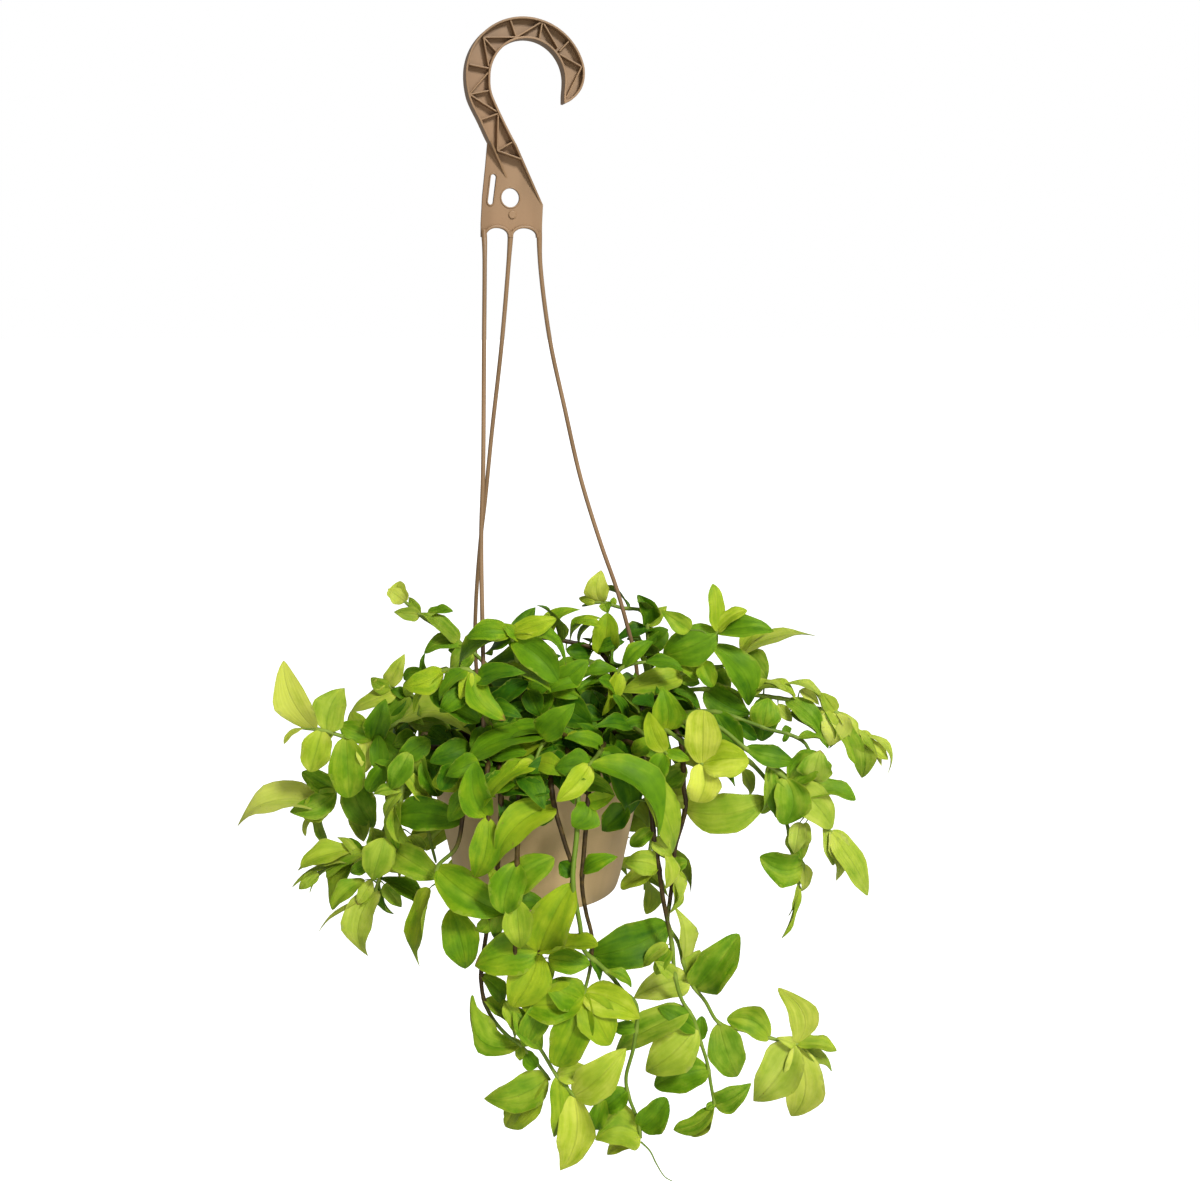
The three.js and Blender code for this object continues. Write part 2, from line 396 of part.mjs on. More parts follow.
/** The silhouette of the hook, its leg and the plate. */
function mouldingOutline() {
  const shape = new THREE.Shape();
  const go = (points) => points.forEach(([x, y]) => shape.lineTo(x, y));
  shape.moveTo(...borePoint(0, 0));
  go([...TIP_INNER].reverse());
  go(TIP_OUTER);
  go(sweep(RING_START, 180, 17).map((a) => ringPoint(a, 0)));
  go(LEG_OUTER);
  go(PLATE_LEFT);
  go([...PLATE_RIGHT].reverse());
  go([...LEG_INNER].reverse());
  go(sweep(180, 10, 17).map((a) => borePoint(a, 0)));
  return shape;
}

function archShape({ x, half }, grow) {
  const shape = new THREE.Shape();
  const low = ARCH_SPRING - 10;
  shape.moveTo(x - half - grow, low);
  shape.lineTo(x + half + grow, low);
  shape.lineTo(x + half + grow, ARCH_SPRING);
  shape.absellipse(x, ARCH_SPRING, half + grow, ARCH_RISE + grow, 0, Math.PI, false, 0);
  shape.closePath();
  return shape;
}

function slotShape(width) {
  const [[x0, y0], [x1, y1]] = SLOT;
  const shape = new THREE.Shape();
  const turn = Math.atan2(y1 - y0, x1 - x0);
  shape.absarc(x0, y0, width / 2, turn + Math.PI / 2, turn + 1.5 * Math.PI, false);
  shape.absarc(x1, y1, width / 2, turn - Math.PI / 2, turn + Math.PI / 2, false);
  shape.closePath();
  return shape;
}

/** Raised borders of the plate: round its slot, eye and arches, and the boss. */
function plateTrim() {
  const low = BACK + WEB / 2;
  const borders = ARCHES.map((arch) => plate(archShape(arch, 1.4), low, BACK + 4.5, 5));
  borders.push(plate(slotShape(SLOT_WIDTH + 2.4), low, BACK + 3.4, 3));
  const ring = new THREE.Shape().absarc(EYE.x, EYE.y, EYE.r + 1.5, 0, 2 * Math.PI, false);
  borders.push(plate(ring, low, BACK + 3.6, 7));
  const boss = new THREE.Shape().absarc(BOSS.x, BOSS.y, BOSS.r, 0, 2 * Math.PI, false);
  borders.push(plate(boss, low, BACK + 3.4, 5));
  return borders;
}

function plateCuts() {
  const cuts = ARCHES.map((arch) => plate(archShape(arch, 0), BACK - 1, FRONT + 1, 5));
  cuts.push(plate(slotShape(SLOT_WIDTH), BACK - 1, FRONT + 1, 3));
  const eye = new THREE.Shape().absarc(EYE.x, EYE.y, EYE.r, 0, 2 * Math.PI, false);
  cuts.push(plate(eye, BACK - 1, FRONT + 1, 7));
  return joined(cuts);
}

/** Places the moulding's own plane in the object's frame. */
function mouldingFrame() {
  const turn = THREE.MathUtils.degToRad(HOOK_TURN);
  const across = new THREE.Vector3(Math.cos(turn), Math.sin(turn), 0);
  const front = new THREE.Vector3(Math.sin(turn), -Math.cos(turn), 0);
  return new THREE.Matrix4().makeBasis(across, new THREE.Vector3(0, 0, 1), front);
}

function mouldedHook() {
  const outline = mouldingOutline();
  const outerEdge = [
    ...TIP_OUTER.map(([x, y]) => [x - 0.4 * EDGE, y + 0.3 * EDGE]),
    ...sweep(RING_START, 180, 17).map((a) => ringPoint(a, EDGE / 2)),
    ...LEG_OUTER.map(([x, y]) => [x + EDGE / 2, y + 0.3]),
  ];
  const innerEdge = [
    ...TIP_INNER.map(([x, y]) => [x + EDGE / 2, y]),
    ...sweep(0, 180, 18).map((a) => borePoint(a, EDGE / 2)),
    ...LEG_INNER.map(([x, y]) => [x - 0.45 * EDGE, y - 0.2 * EDGE]),
  ];
  const pieces = [
    plate(outline, BACK, BACK + WEB, 12),
    wallAlong(outerEdge, EDGE, BACK, FRONT),
    wallAlong(innerEdge, EDGE, BACK, FRONT),
    fin([-25.2, -62.8], [-12.8, -85], HOOK_DEPTH, WEB, EDGE),
    fin([-9, -64.2], [10, -100.4], HOOK_DEPTH, WEB, EDGE),
    ...RIBS.map(([a, b]) => fin(a, b, RIB_HEIGHT, RIB_HEIGHT, RIB)),
    ...plateTrim(),
  ];
  return joined(pieces).subtract(plateCuts());
}

// The wires' centre lines, from the foot of the plate to the lugs under the pot's rim.
const WIRES = [
  [[-28.2, -6, -118], [-27.6, -9.2, -126], [-28.1, -21.3, -194], [-28.9, -34.9, -272], [-30.2, -42.2, -313],
    [-29.6, -51.2, -366], [-28.9, -58.2, -407], [-28.9, -64, -440]],
  [[-11.1, -1, -118], [-11.9, 0.4, -128], [-18.6, 12, -189], [-27.1, 24.8, -250], [-33.5, 35.2, -300],
    [-37.1, 40.4, -325], [-42.2, 50.2, -373], [-44, 56.4, -409], [-42.8, 57.6, -440]],
  [[7.2, 4.3, -118], [7.8, 4.6, -140], [13.7, 5.2, -188], [22.8, 6.2, -231], [34, 7.6, -281], [47.3, 9, -325],
    [59, 10, -359], [66.8, 10.8, -387], [71.4, 11.6, -406], [74.4, 12.4, -438]],
];
const WIRE_STEPS = 18;

function lugPlace(degrees) {
  const a = THREE.MathUtils.degToRad(degrees);
  const reach = MOUTH_RADIUS - LUG_INSET;
  return { x: POT_X + reach * Math.cos(a), y: reach * Math.sin(a) };
}

/** A wire, its foot through the lug, and the button that holds it there. */
function wire(points, lugAngle) {
  const { x, y } = lugPlace(lugAngle);
  const line = points.map((p) => new THREE.Vector3(...p));
  line.push(...[5, 0, -6].map((height) => new THREE.Vector3(x, y, RIM_Z + height)));
  const curve = new THREE.CatmullRomCurve3(line, false, 'centripetal');
  const button = cylinder(BUTTON_RADIUS, x, y, RIM_Z - 6.6, RIM_Z - 3 - CLEARANCE, 12);
  return rod(curve, WIRE_RADIUS, 6, WIRE_STEPS).add(button);
}

function hanger() {
  const hook = mouldedHook().transform(mouldingFrame().elements);
  return mainBody(joined([hook, ...WIRES.map((points, i) => wire(points, LUG_ANGLES[i]))]));
}

// ---------------------------------------------------------------- pot

const POT_SEGMENTS = 48;

function turned(profile, segments) {
  const points = profile.map(([r, z]) => new THREE.Vector2(r, z));
  const geometry = new THREE.LatheGeometry([...points, points[0].clone()], segments);
  const matrix = new THREE.Matrix4().makeTranslation(POT_X, 0, RIM_Z)
    .multiply(new THREE.Matrix4().makeRotationX(Math.PI / 2));
  return solidOf(geometry, matrix);
}

/** Outside radius of the pot's wall at a height below the rim. */
function wallRadius(depth) {
  return MOUTH_RADIUS + ((BASE_RADIUS - MOUTH_RADIUS) * depth) / POT_HEIGHT;
}

/** Lip, wall and base as one turned shell, drawn from the middle of the base outward. */
function potShell() {
  const foot = POT_HEIGHT;
  const inner = foot - 5;
  return turned([
    [0, -foot + 3], [BASE_RADIUS - 8, -foot + 3], [BASE_RADIUS - 7, -foot], [BASE_RADIUS - 2.5, -foot],
    [BASE_RADIUS, -foot + 2.5], [wallRadius(8), -8], [RIM_RADIUS - 0.6, -6.5], [RIM_RADIUS, -1.6],
    [RIM_RADIUS - 1.4, 0], [MOUTH_RADIUS - POT_WALL, 0], [wallRadius(inner) - POT_WALL, -inner], [0, -inner],
  ], POT_SEGMENTS);
}

/** A lug inside the rim, with the hole that a wire drops through. */
function lug(degrees) {
  const { x, y } = lugPlace(degrees);
  const a = THREE.MathUtils.degToRad(degrees);
  const tab = new THREE.Shape();
  tab.absarc(0, 0, 4.2, Math.PI / 2, 1.5 * Math.PI, false);
  tab.lineTo(5, -4.2);
  tab.lineTo(5, 4.2);
  tab.closePath();
  const matrix = new THREE.Matrix4().makeTranslation(x, y, RIM_Z - 3).multiply(new THREE.Matrix4().makeRotationZ(a));
  const body = solidOf(new THREE.ExtrudeGeometry(tab, { depth: 2, bevelEnabled: false, curveSegments: 8 }), matrix);
  return { body, hole: cylinder(LUG_HOLE, x, y, RIM_Z - 5, RIM_Z + 1, 10) };
}

function pot() {
  const lugs = LUG_ANGLES.map(lug);
  const drains = sweep(0, 300, 5).map((degrees) => {
    const a = THREE.MathUtils.degToRad(degrees);
    return cylinder(DRAIN_RADIUS, POT_X + 32 * Math.cos(a), 32 * Math.sin(a), RIM_Z - POT_HEIGHT - 1, RIM_Z - 98, 12);
  });
  return joined([potShell(), ...lugs.map((l) => l.body)]).subtract(joined([...lugs.map((l) => l.hole), ...drains]));
}

// ---------------------------------------------------------------- soil

const SOIL_SEGMENTS = 32;

function soilBed() {
  const top = SOIL_TOP - RIM_Z;
  const low = -POT_HEIGHT + 5 + CLEARANCE;
  const inside = (depth) => wallRadius(depth) - POT_WALL - CLEARANCE - 0.2;
  return turned([
    [0, low], [inside(-low) - 1, low], [inside(-low), low + 1], [inside(-top) - 0.6, top - 3],
    [inside(-top) - 4, top - 0.6], [40, top], [0, top],
  ], SOIL_SEGMENTS);
}

// ---------------------------------------------------------------- shoots

const UP = new THREE.Vector3(0, 0, 1);

const FOOT = [1, 6];                // heights over the soil where a shoot stands upright
const LAST_NODE = 0.12;             // how far the last leaves grow before the stem's end

/** A smooth line that leaves the soil upright and goes on through the given points. */
function stemLine(x, y, points) {
  const foot = FOOT.map((height) => new THREE.Vector3(POT_X + x, y, SOIL_TOP + height));
  return new THREE.CatmullRomCurve3([...foot, ...points], false, 'centripetal');
}

/** The line of a traced shoot, moved `shift` mm towards the viewer. */
function tracedLine([, [x, y], path], shift) {
  return stemLine(x, y, path.map(([u, v, near]) => seen(u, v, near + shift)));
}

/** Where a leaf grows on a traced line: its place counts along the table of points. */
function pointAt(curve, place) {
  const last = curve.points.length - 1;
  return curve.getPoint(Math.min(place + FOOT.length, last - LAST_NODE) / last);
}

/** One leaf of a traced shoot as base, tip, the way its face looks, width and bow. */
function tracedLeaf(curve, [place, u, v, forward, width, bow], swing, size) {
  const base = pointAt(curve, place);
  const full = seen(u, v, -base.y + forward + swing);
  const tip = base.clone().lerp(full, size);
  const chord = tip.clone().sub(base);
  const length = chord.length();
  chord.normalize();
  const middle = base.clone().lerp(tip, 0.5);
  const sight = middle.clone().sub(VIEW.place);
  const scale = sight.length() / VIEW.focal;
  sight.normalize();
  const side = sight.clone().cross(chord).normalize();
  const facing = side.clone().cross(chord).normalize();
  const seenWidth = width * scale * size;
  const trueWidth = THREE.MathUtils.clamp(LEAF_PROPORTION * length, seenWidth, 2.2 * seenWidth);
  const roll = Math.acos(seenWidth / trueWidth);
  const turns = [roll, -roll].map((r) => facing.clone().applyAxisAngle(chord, r));
  const outward = new THREE.Vector3(middle.x - POT_X, middle.y, 0).normalize().multiplyScalar(0.5).add(UP);
  const face = turns[0].dot(outward) >= turns[1].dot(outward) ? turns[0] : turns[1];
  return { base, tip, face, width: trueWidth, bow: side.multiplyScalar(-bow * scale * size) };
}

const LEAF_ARCH = 0.1;              // how far the blade rises over its chord, by its length
const LEAF_WIDEST = 0.42;           // where along the chord it is widest

/** A leaf as a slim solid that is pointed at base and tip and arched between them. */
function leafSolid({ base, tip, face, width, bow }) {
  const chord = tip.clone().sub(base);
  const side = chord.clone().cross(face).normalize().multiplyScalar(width / 2);
  const thick = face.clone().multiplyScalar(LEAF_THICKNESS / 2);
  const middle = base.clone().addScaledVector(chord, LEAF_WIDEST)
    .addScaledVector(face, LEAF_ARCH * chord.length()).add(bow);
  const geometry = new THREE.OctahedronGeometry(1);
  const at = geometry.attributes.position;
  for (let i = 0; i < at.count; i += 1) {
    const [x, y, z] = [at.getX(i), at.getY(i), at.getZ(i)];
    const belt = middle.clone().addScaledVector(side, x).addScaledVector(thick, z);
    const place = Math.abs(y) < 0.5 ? belt : base.clone().addScaledVector(chord, (y + 1) / 2);
    at.setXYZ(i, place.x, place.y, place.z);
  }
  return solidOf(geometry);
}

// Shoots round the back, which the reference view hides behind the pot and the crown.
const FILL = { count: 20, first: 24, last: 158, spacing: 25, shortest: 36, longest: 50 };

/** A number from 0 to 1 that differs from one shoot or leaf to the next. */
function spread(k, salt) {
  return (k * 0.6180339887 + salt * 0.7548776662) % 1;
}

function round(radius, degrees, height) {
  const a = THREE.MathUtils.degToRad(degrees);
  return new THREE.Vector3(POT_X + radius * Math.cos(a), radius * Math.sin(a), RIM_Z + height);
}

/** A shoot that climbs over the back of the rim and hangs, `shift` mm further out. */
function fillLine(k, shift) {
  const angle = FILL.first + ((FILL.last - FILL.first) * (k - 0.5)) / FILL.count + 0.6 * shift;
  const layer = k % 3;
  const drop = 46 + 30 * layer + 34 * spread(k, 1);
  const reach = 91 + 9 * (2 - layer) + 8 * spread(k, 2) + shift;
  const drift = 14 * (spread(k, 3) - 0.5);
  const start = round(30 + 14 * layer, angle, 0);
  return stemLine(start.x - POT_X, start.y, [
    round(64, angle + 0.2 * drift, 4 + 5 * spread(k, 4)),
    round(80, angle + 0.4 * drift, 7 + 8 * spread(k, 4)),
    round(reach, angle + 0.7 * drift, -4 - 6 * layer),
    round(reach + 6, angle + drift, -0.45 * drop),
    round(reach + 1, angle + 1.6 * drift, -0.75 * drop),
    round(reach - 5, angle + drift, -drop),
  ]);
}

/** Leaf `j` of a shoot at the back, leaves standing to the left and right in turn. */
function fillLeaf(curve, k, j, swing, size) {
  const total = curve.getLength();
  const at = Math.min((36 + FILL.spacing * (j + 0.5 * spread(k, 5))) / total, 1 - 2.5 / total);
  const base = curve.getPointAt(at);
  const along = curve.getTangentAt(at);
  const outward = new THREE.Vector3(base.x - POT_X, base.y, 0).normalize();
  const rise = outward.clone().lerp(UP, Math.abs(along.z) < 0.6 ? 0.8 : 0.15).normalize();
  const side = along.clone().cross(rise).normalize().multiplyScalar(j % 2 ? 1 : -1);
  const length = THREE.MathUtils.lerp(FILL.shortest, FILL.longest, spread(k + j, 6)) * size;
  const tip = along.clone().multiplyScalar(0.55).addScaledVector(side, at * total < total - 9 ? 0.75 : 0.2)
    .addScaledVector(rise, 0.3 + swing / 40).normalize().multiplyScalar(length).add(base);
  const chord = tip.clone().sub(base).normalize();
  const face = rise.clone().addScaledVector(chord, -rise.dot(chord)).normalize();
  return { base, tip, face, width: LEAF_PROPORTION * length, bow: new THREE.Vector3() };
}

function fillLeafCount(curve) {
  return Math.floor((curve.getLength() - 36) / FILL.spacing) + 1;
}

const placed = [];                  // solids already standing, with their boxes and owners

function near(a, b, margin) {
  return [0, 1, 2].every((k) => a.min[k] - margin < b.max[k] && b.min[k] - margin < a.max[k]);
}

/** True where a solid keeps its clearance to every other piece. */
function isFree(solid, owner) {
  const box = solid.boundingBox();
  return placed.every((p) => p.owner === owner || !near(p.box, box, CLEARANCE)
    || p.solid.minGap(solid, 2 * CLEARANCE) >= CLEARANCE - 0.05);
}

function stand(solid, owner) {
  placed.push({ solid, box: solid.boundingBox(), owner });
}

const SHIFTS = [0, 3, -3, 6, -6, 9, -9, 12, -12, 16, -16, 20, -20, 25, -25];

/** A line given by its stations. */
class Stations extends THREE.Curve {
  constructor(places, directions) {
    super();
    this.places = places;
    this.directions = directions;
  }

  getPointAt(share) {
    return this.places[Math.round(share * (this.places.length - 1))].clone();
  }

  getTangentAt(share) {
    return this.directions[Math.round(share * (this.places.length - 1))].clone();
  }
}

/** A stem along its line, with the straight foot that stands in the soil. */
function stemSolid(curve) {
  const shares = sweep(0, 1, Math.ceil(curve.getLength() / STEM_STEP));
  const foot = curve.points[0].clone().setZ(SOIL_TOP - SOCKET_DEPTH);
  const line = new Stations(
    [foot, ...shares.map((share) => curve.getPointAt(share))],
    [UP, UP, ...shares.slice(1).map((share) => curve.getTangentAt(share))],
  );
  return rod(line, STEM_RADIUS, STEM_SIDES, shares.length);
}

/** The first place, moved out or back, where a stem is free; none where it is too crowded. */
function settleStem({ name, lineAt, leavesOf }) {
  for (const shift of SHIFTS) {
    const curve = lineAt(shift);
    const tube = stemSolid(curve);
    if (isFree(tube, name)) {
      stand(tube, name);
      return [{ name, curve, tube, leaves: leavesOf(curve) }];
    }
  }
  return [];
}

const SWINGS = [0, 6, -6, 12, -12, 18, -18, 24, -24];
const SIZES = [1, 0.75, 0.55];

/** The first swing and size at which a leaf is free; none where it is too crowded. */
function settleLeaf(name, leafAt) {
  for (const size of SIZES) {
    for (const swing of SWINGS) {
      const solid = leafSolid(leafAt(swing, size));
      if (isFree(solid, name)) {
        stand(solid, name);
        return [solid];
      }
    }
  }
  return [];
}

const traced = SHOOTS.map((shoot) => ({
  name: `shoot_${shoot[0]}`,
  lineAt: (shift) => tracedLine(shoot, shift),
  leavesOf: (curve) => shoot[3].map((leaf) => (swing, size) => tracedLeaf(curve, leaf, swing, size)),
}));

const fill = sweep(1, FILL.count, FILL.count - 1).map((number) => ({
  name: `shoot_back_${String(number).padStart(2, '0')}`,
  lineAt: (shift) => fillLine(number, shift),
  leavesOf: (curve) => sweep(0, fillLeafCount(curve) - 1, fillLeafCount(curve) - 1)
    .map((j) => (swing, size) => fillLeaf(curve, number, j, swing, size)),
}));

/** Sockets in the soil, one round the foot of each stem. */
function sockets(stems) {
  const radius = (STEM_RADIUS + CLEARANCE) / Math.cos(Math.PI / STEM_SIDES);
  return joined(stems.map(({ curve: { points: [{ x, y }] } }) => (
    cylinder(radius, x, y, SOIL_TOP - SOCKET_DEPTH - CLEARANCE, SOIL_TOP + 1, STEM_SIDES))));
}

// ---------------------------------------------------------------- the object

const PLASTIC = material(0xa98a68, 0.45);
const SOIL = material(0x3a2a1e, 0.95);
const GREENS = [material(0x4f8a25, 0.5), material(0x6c9a2b, 0.5), material(0x86a83a, 0.5)];

const hangerSolid = hanger();
const potSolid = pot();
stand(hangerSolid, 'hanger');
stand(potSolid, 'pot');
const stems = [...traced, ...fill].flatMap(settleStem);
const soilSolid = soilBed().subtract(sockets(stems));
stand(soilSolid, 'soil');

const group = new THREE.Group();
group.add(named('hanger', hangerSolid, PLASTIC));
group.add(named('pot', potSolid, PLASTIC));
group.add(named('soil', soilSolid, SOIL));
stems.forEach(({ name, tube, leaves }, i) => {
  const blades = leaves.flatMap((leafAt) => settleLeaf(name, leafAt));
  group.add(named(name, mainBody(joined([tube, ...blades])), GREENS[i % GREENS.length]));
});

export default group;
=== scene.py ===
"""Looks for a hanging pot of trailing tradescantia.

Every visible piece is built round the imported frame: the moulded hanger, the pot, the potting mix and
each leafy shoot. Tables and working numbers are in millimetres, meshes and settings in metres.
"""

import math

import bmesh
import bpy
import numpy as np
from bpy.props import FloatProperty, FloatVectorProperty, IntProperty, PointerProperty
from mathutils import Matrix, Vector
from mathutils.kdtree import KDTree


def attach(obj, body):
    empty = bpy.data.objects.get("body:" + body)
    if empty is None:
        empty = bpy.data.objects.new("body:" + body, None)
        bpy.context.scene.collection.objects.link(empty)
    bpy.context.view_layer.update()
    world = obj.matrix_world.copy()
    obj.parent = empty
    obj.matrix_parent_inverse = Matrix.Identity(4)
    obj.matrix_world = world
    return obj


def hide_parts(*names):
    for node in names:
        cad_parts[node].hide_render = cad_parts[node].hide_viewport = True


bl_info = {
    "name": "Hanging Tradescantia",
    "version": (1, 0, 0),
    "blender": (4, 5, 0),
    "location": "3D View > Sidebar > Tradescantia",
    "description": "Builds a hanging pot of trailing tradescantia round its packed frame",
    "category": "Add Mesh",
}

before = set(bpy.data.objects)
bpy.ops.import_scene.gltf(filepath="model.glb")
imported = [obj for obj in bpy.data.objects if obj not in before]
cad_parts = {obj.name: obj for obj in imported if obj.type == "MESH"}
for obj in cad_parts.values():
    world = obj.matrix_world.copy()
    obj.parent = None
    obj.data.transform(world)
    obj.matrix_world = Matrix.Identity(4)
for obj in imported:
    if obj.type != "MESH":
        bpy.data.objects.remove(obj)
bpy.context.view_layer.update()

MM = 0.001
UP = np.array([0.0, 0.0, 1.0])

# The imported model's pot, which the looks keep to.
POT_X = 3  # the pot's axis, beside the hook's seat
RIM_Z = -460
MOUTH_RADIUS, BASE_RADIUS, POT_HEIGHT = 79, 57, 108
BELOW_RIM = 12  # from the rim down to the potting mix
SOIL_TOP = RIM_Z - BELOW_RIM

CRUMB_SIZE, CRUMB_DENSITY, CRUMB_SEED = 2.2, 60000, 7
LEAF_THICKNESS = 0.7


# ---------------- numbers and vectors

# Steps that never fall in with each other, so the numbers made with them keep differing.
GOLDEN_STEP, SALT_STEP = 0.6180339887, 0.7548776662
FULL_TURN = 6.28  # radians
NUDGE = 1e-3  # keeps a direction from being nothing


def unit(vector):
    """A vector's direction."""
    return vector / np.linalg.norm(vector)


def point(*numbers):
    """A place or direction from its three numbers."""
    return np.array(numbers, float)


def heading(degrees):
    """The direction at an angle in a plane."""
    a = math.radians(degrees)
    return point(math.cos(a), math.sin(a))


def round_pot(radius, degrees, height):
    """A place round the pot's axis, its height counted from the rim."""
    across, away = radius * heading(degrees)
    return point(POT_X + across, away, RIM_Z + height)


def sweep(start, end, count):
    """Even steps from one number to another, both ends included."""
    return [start + (end - start) * i / count for i in range(count + 1)]


def spread(number, salt):
    """A number from 0 to 1 that differs from one shoot or leaf to the next, and for each salt."""
    return (number * GOLDEN_STEP + salt * SALT_STEP) % 1


def blend(a, b, share):
    """The value that lies `share` of the way from a to b."""
    return a + (b - a) * share


def turned_about(vector, axis, angle):
    """A vector turned about a unit axis."""
    return (
        vector * math.cos(angle)
        + np.cross(axis, vector) * math.sin(angle)
        + axis * np.dot(axis, vector) * (1 - math.cos(angle))
    )


def linear(code):
    """A screen colour such as 'a98a68' as linear red, green and blue, by the usual screen curve."""
    levels = [int(code[i : i + 2], 16) / 255 for i in (0, 2, 4)]
    return [c / 12.92 if c <= 0.04045 else ((c + 0.055) / 1.055) ** 2.4 for c in levels]


def dimmed(shade, share):
    """A colour made darker, or lighter where the share is over 1."""
    return tuple(c * share for c in shade)


# ---------------- settings


def length(label, hint, default):
    """A size in the sidebar, given here in millimetres."""
    return FloatProperty(
        name=label, description=hint, default=default * MM, min=0, unit="LENGTH", precision=4
    )


def amount(label, hint, default, unit="NONE"):
    """A number in the sidebar."""
    return FloatProperty(name=label, description=hint, default=default, min=0, unit=unit)


def colour(label, hint, code):
    """A colour in the sidebar, given here by its screen code."""
    return FloatVectorProperty(
        name=label, description=hint, default=linear(code), subtype="COLOR", size=3, min=0, max=1
    )


class HangerSettings(bpy.types.PropertyGroup):
    """Sizes and colour of the moulded hanger"""

    depth: length("Hook Depth", "Depth of the hook's channel, front to back", 10)
    web: length("Web", "Wall at the back of the channel", 2.2)
    floor: length("Floor", "How much thicker the wall is between the ribs", 2)
    edge: length("Edge", "Walls along the channel's edges", 1.35)
    rib: length("Rib", "Thickness of the bracing ribs", 1.0)
    rib_height: length("Rib Height", "Height of the bracing ribs over the back", 9)
    rounding: length("Rounding", "Radius of the moulded edges", 0.3)
    wire_radius: length("Wire Radius", "Half the thickness of a wire", 1.45)
    plastic: colour("Plastic", "Colour of the hanger's plastic", "8b6d4b")


class PotSettings(bpy.types.PropertyGroup):
    """Sizes and colour of the pot"""

    rim_radius: length("Rim Radius", "Outside of the lip", 82.5)
    mouth_radius: length("Mouth Radius", "Outside of the wall, under the lip", MOUTH_RADIUS)
    base_radius: length("Base Radius", "Outside of the base", BASE_RADIUS)
    height: length("Height", "From the base to the rim", POT_HEIGHT)
    wall: length("Wall", "Thickness of the wall", 1.8)
    plastic: colour("Plastic", "Colour of the pot's plastic", "dcbb86")


class SoilSettings(bpy.types.PropertyGroup):
    """The potting mix"""

    below_rim: length("Below Rim", "From the rim down to the mix", BELOW_RIM)
    crumb: length("Crumb", "Size of a usual crumb", CRUMB_SIZE)
    density: amount("Crumb Density", "Crumbs for each square metre", CRUMB_DENSITY)
    seed: IntProperty(name="Seed", description="Seed of the crumbs' places", default=CRUMB_SEED)
    peat: colour("Peat", "Colour of the moist mix", "33251a")


class FoliageSettings(bpy.types.PropertyGroup):
    """Shape and colours of stems and leaves"""

    old_stem: length("Old Stem Radius", "Half the thickness of a stem at the soil", 1.9)
    young_stem: length("Young Stem Radius", "Half the thickness at a stem's tip", 1.15)
    joint: length("Joint", "How far a stem swells where a leaf clasps it", 0.5)
    leaf_thickness: length("Leaf Thickness", "Thickness of a leaf at its middle", LEAF_THICKNESS)
    arch: amount("Arch", "Rise of a leaf over its length", 0.1)
    # The deep green paints the shade on leaves deep in the crown.
    deep: colour("Deep Green", "Shaded leaves in the crown", "2f5f0a")
    green: colour("Green", "Full-grown leaves", "648e10")
    fresh: colour("Fresh Green", "Young leaves", "9eb322")
    yellow: colour("Yellow Green", "The palest leaves", "cbd250")
    faded: colour("Faded Green", "Where leaves toward the ends of the shoots have paled", "bec870")
    woody: colour("Woody", "Old stems", "36280f")


class StudioSettings(bpy.types.PropertyGroup):
    """The plain floor and the lights"""

    floor: length("Floor", "How far the floor lies below the hook's seat", 1750)
    key: amount("Key Light", "Power of the main light", 45, "POWER")
    fill: amount("Fill Light", "Power of the second light", 13, "POWER")
    sky: amount("Room Light", "Strength of the light from all round", 0.36)


# ---------------- node trees


def both_ways(operation):
    """The two methods of an operator: with the socket before it, and with the socket after it."""
    return (
        lambda flow, other: flow.maths(operation, flow, other),
        lambda flow, other: flow.maths(operation, other, flow),
    )


def is_vector(value):
    """Whether a socket or a plain value holds three numbers."""
    if isinstance(value, Flow):
        return value.socket.type in {"VECTOR", "RGBA"}
    return hasattr(value, "__len__")


class Flow:
    """An output socket. Arithmetic on it adds Math nodes, or Vector Math nodes for a vector or colour."""

    def __init__(self, bench, socket):
        self.bench = bench
        self.socket = socket

    def other(self, key):
        """Another output of the same node."""
        return Flow(self.bench, self.socket.node.outputs[key])

    def maths(self, operation, a, b):
        """The node for an operation on two sockets or plain values."""
        kind, links = "ShaderNodeMath", {0: a, 1: b}
        vectors = [is_vector(value) for value in (a, b)]
        if any(vectors):
            kind = "ShaderNodeVectorMath"
            if operation == "MULTIPLY" and not all(vectors):
                vector, scale = (a, b) if vectors[0] else (b, a)
                operation, links = "SCALE", {0: vector, "Scale": scale}
        return self.bench.add(kind, {"operation": operation}, links)

    __add__, __radd__ = both_ways("ADD")
    __sub__, __rsub__ = both_ways("SUBTRACT")
    __mul__, __rmul__ = both_ways("MULTIPLY")
    __pow__, __rpow__ = both_ways("POWER")


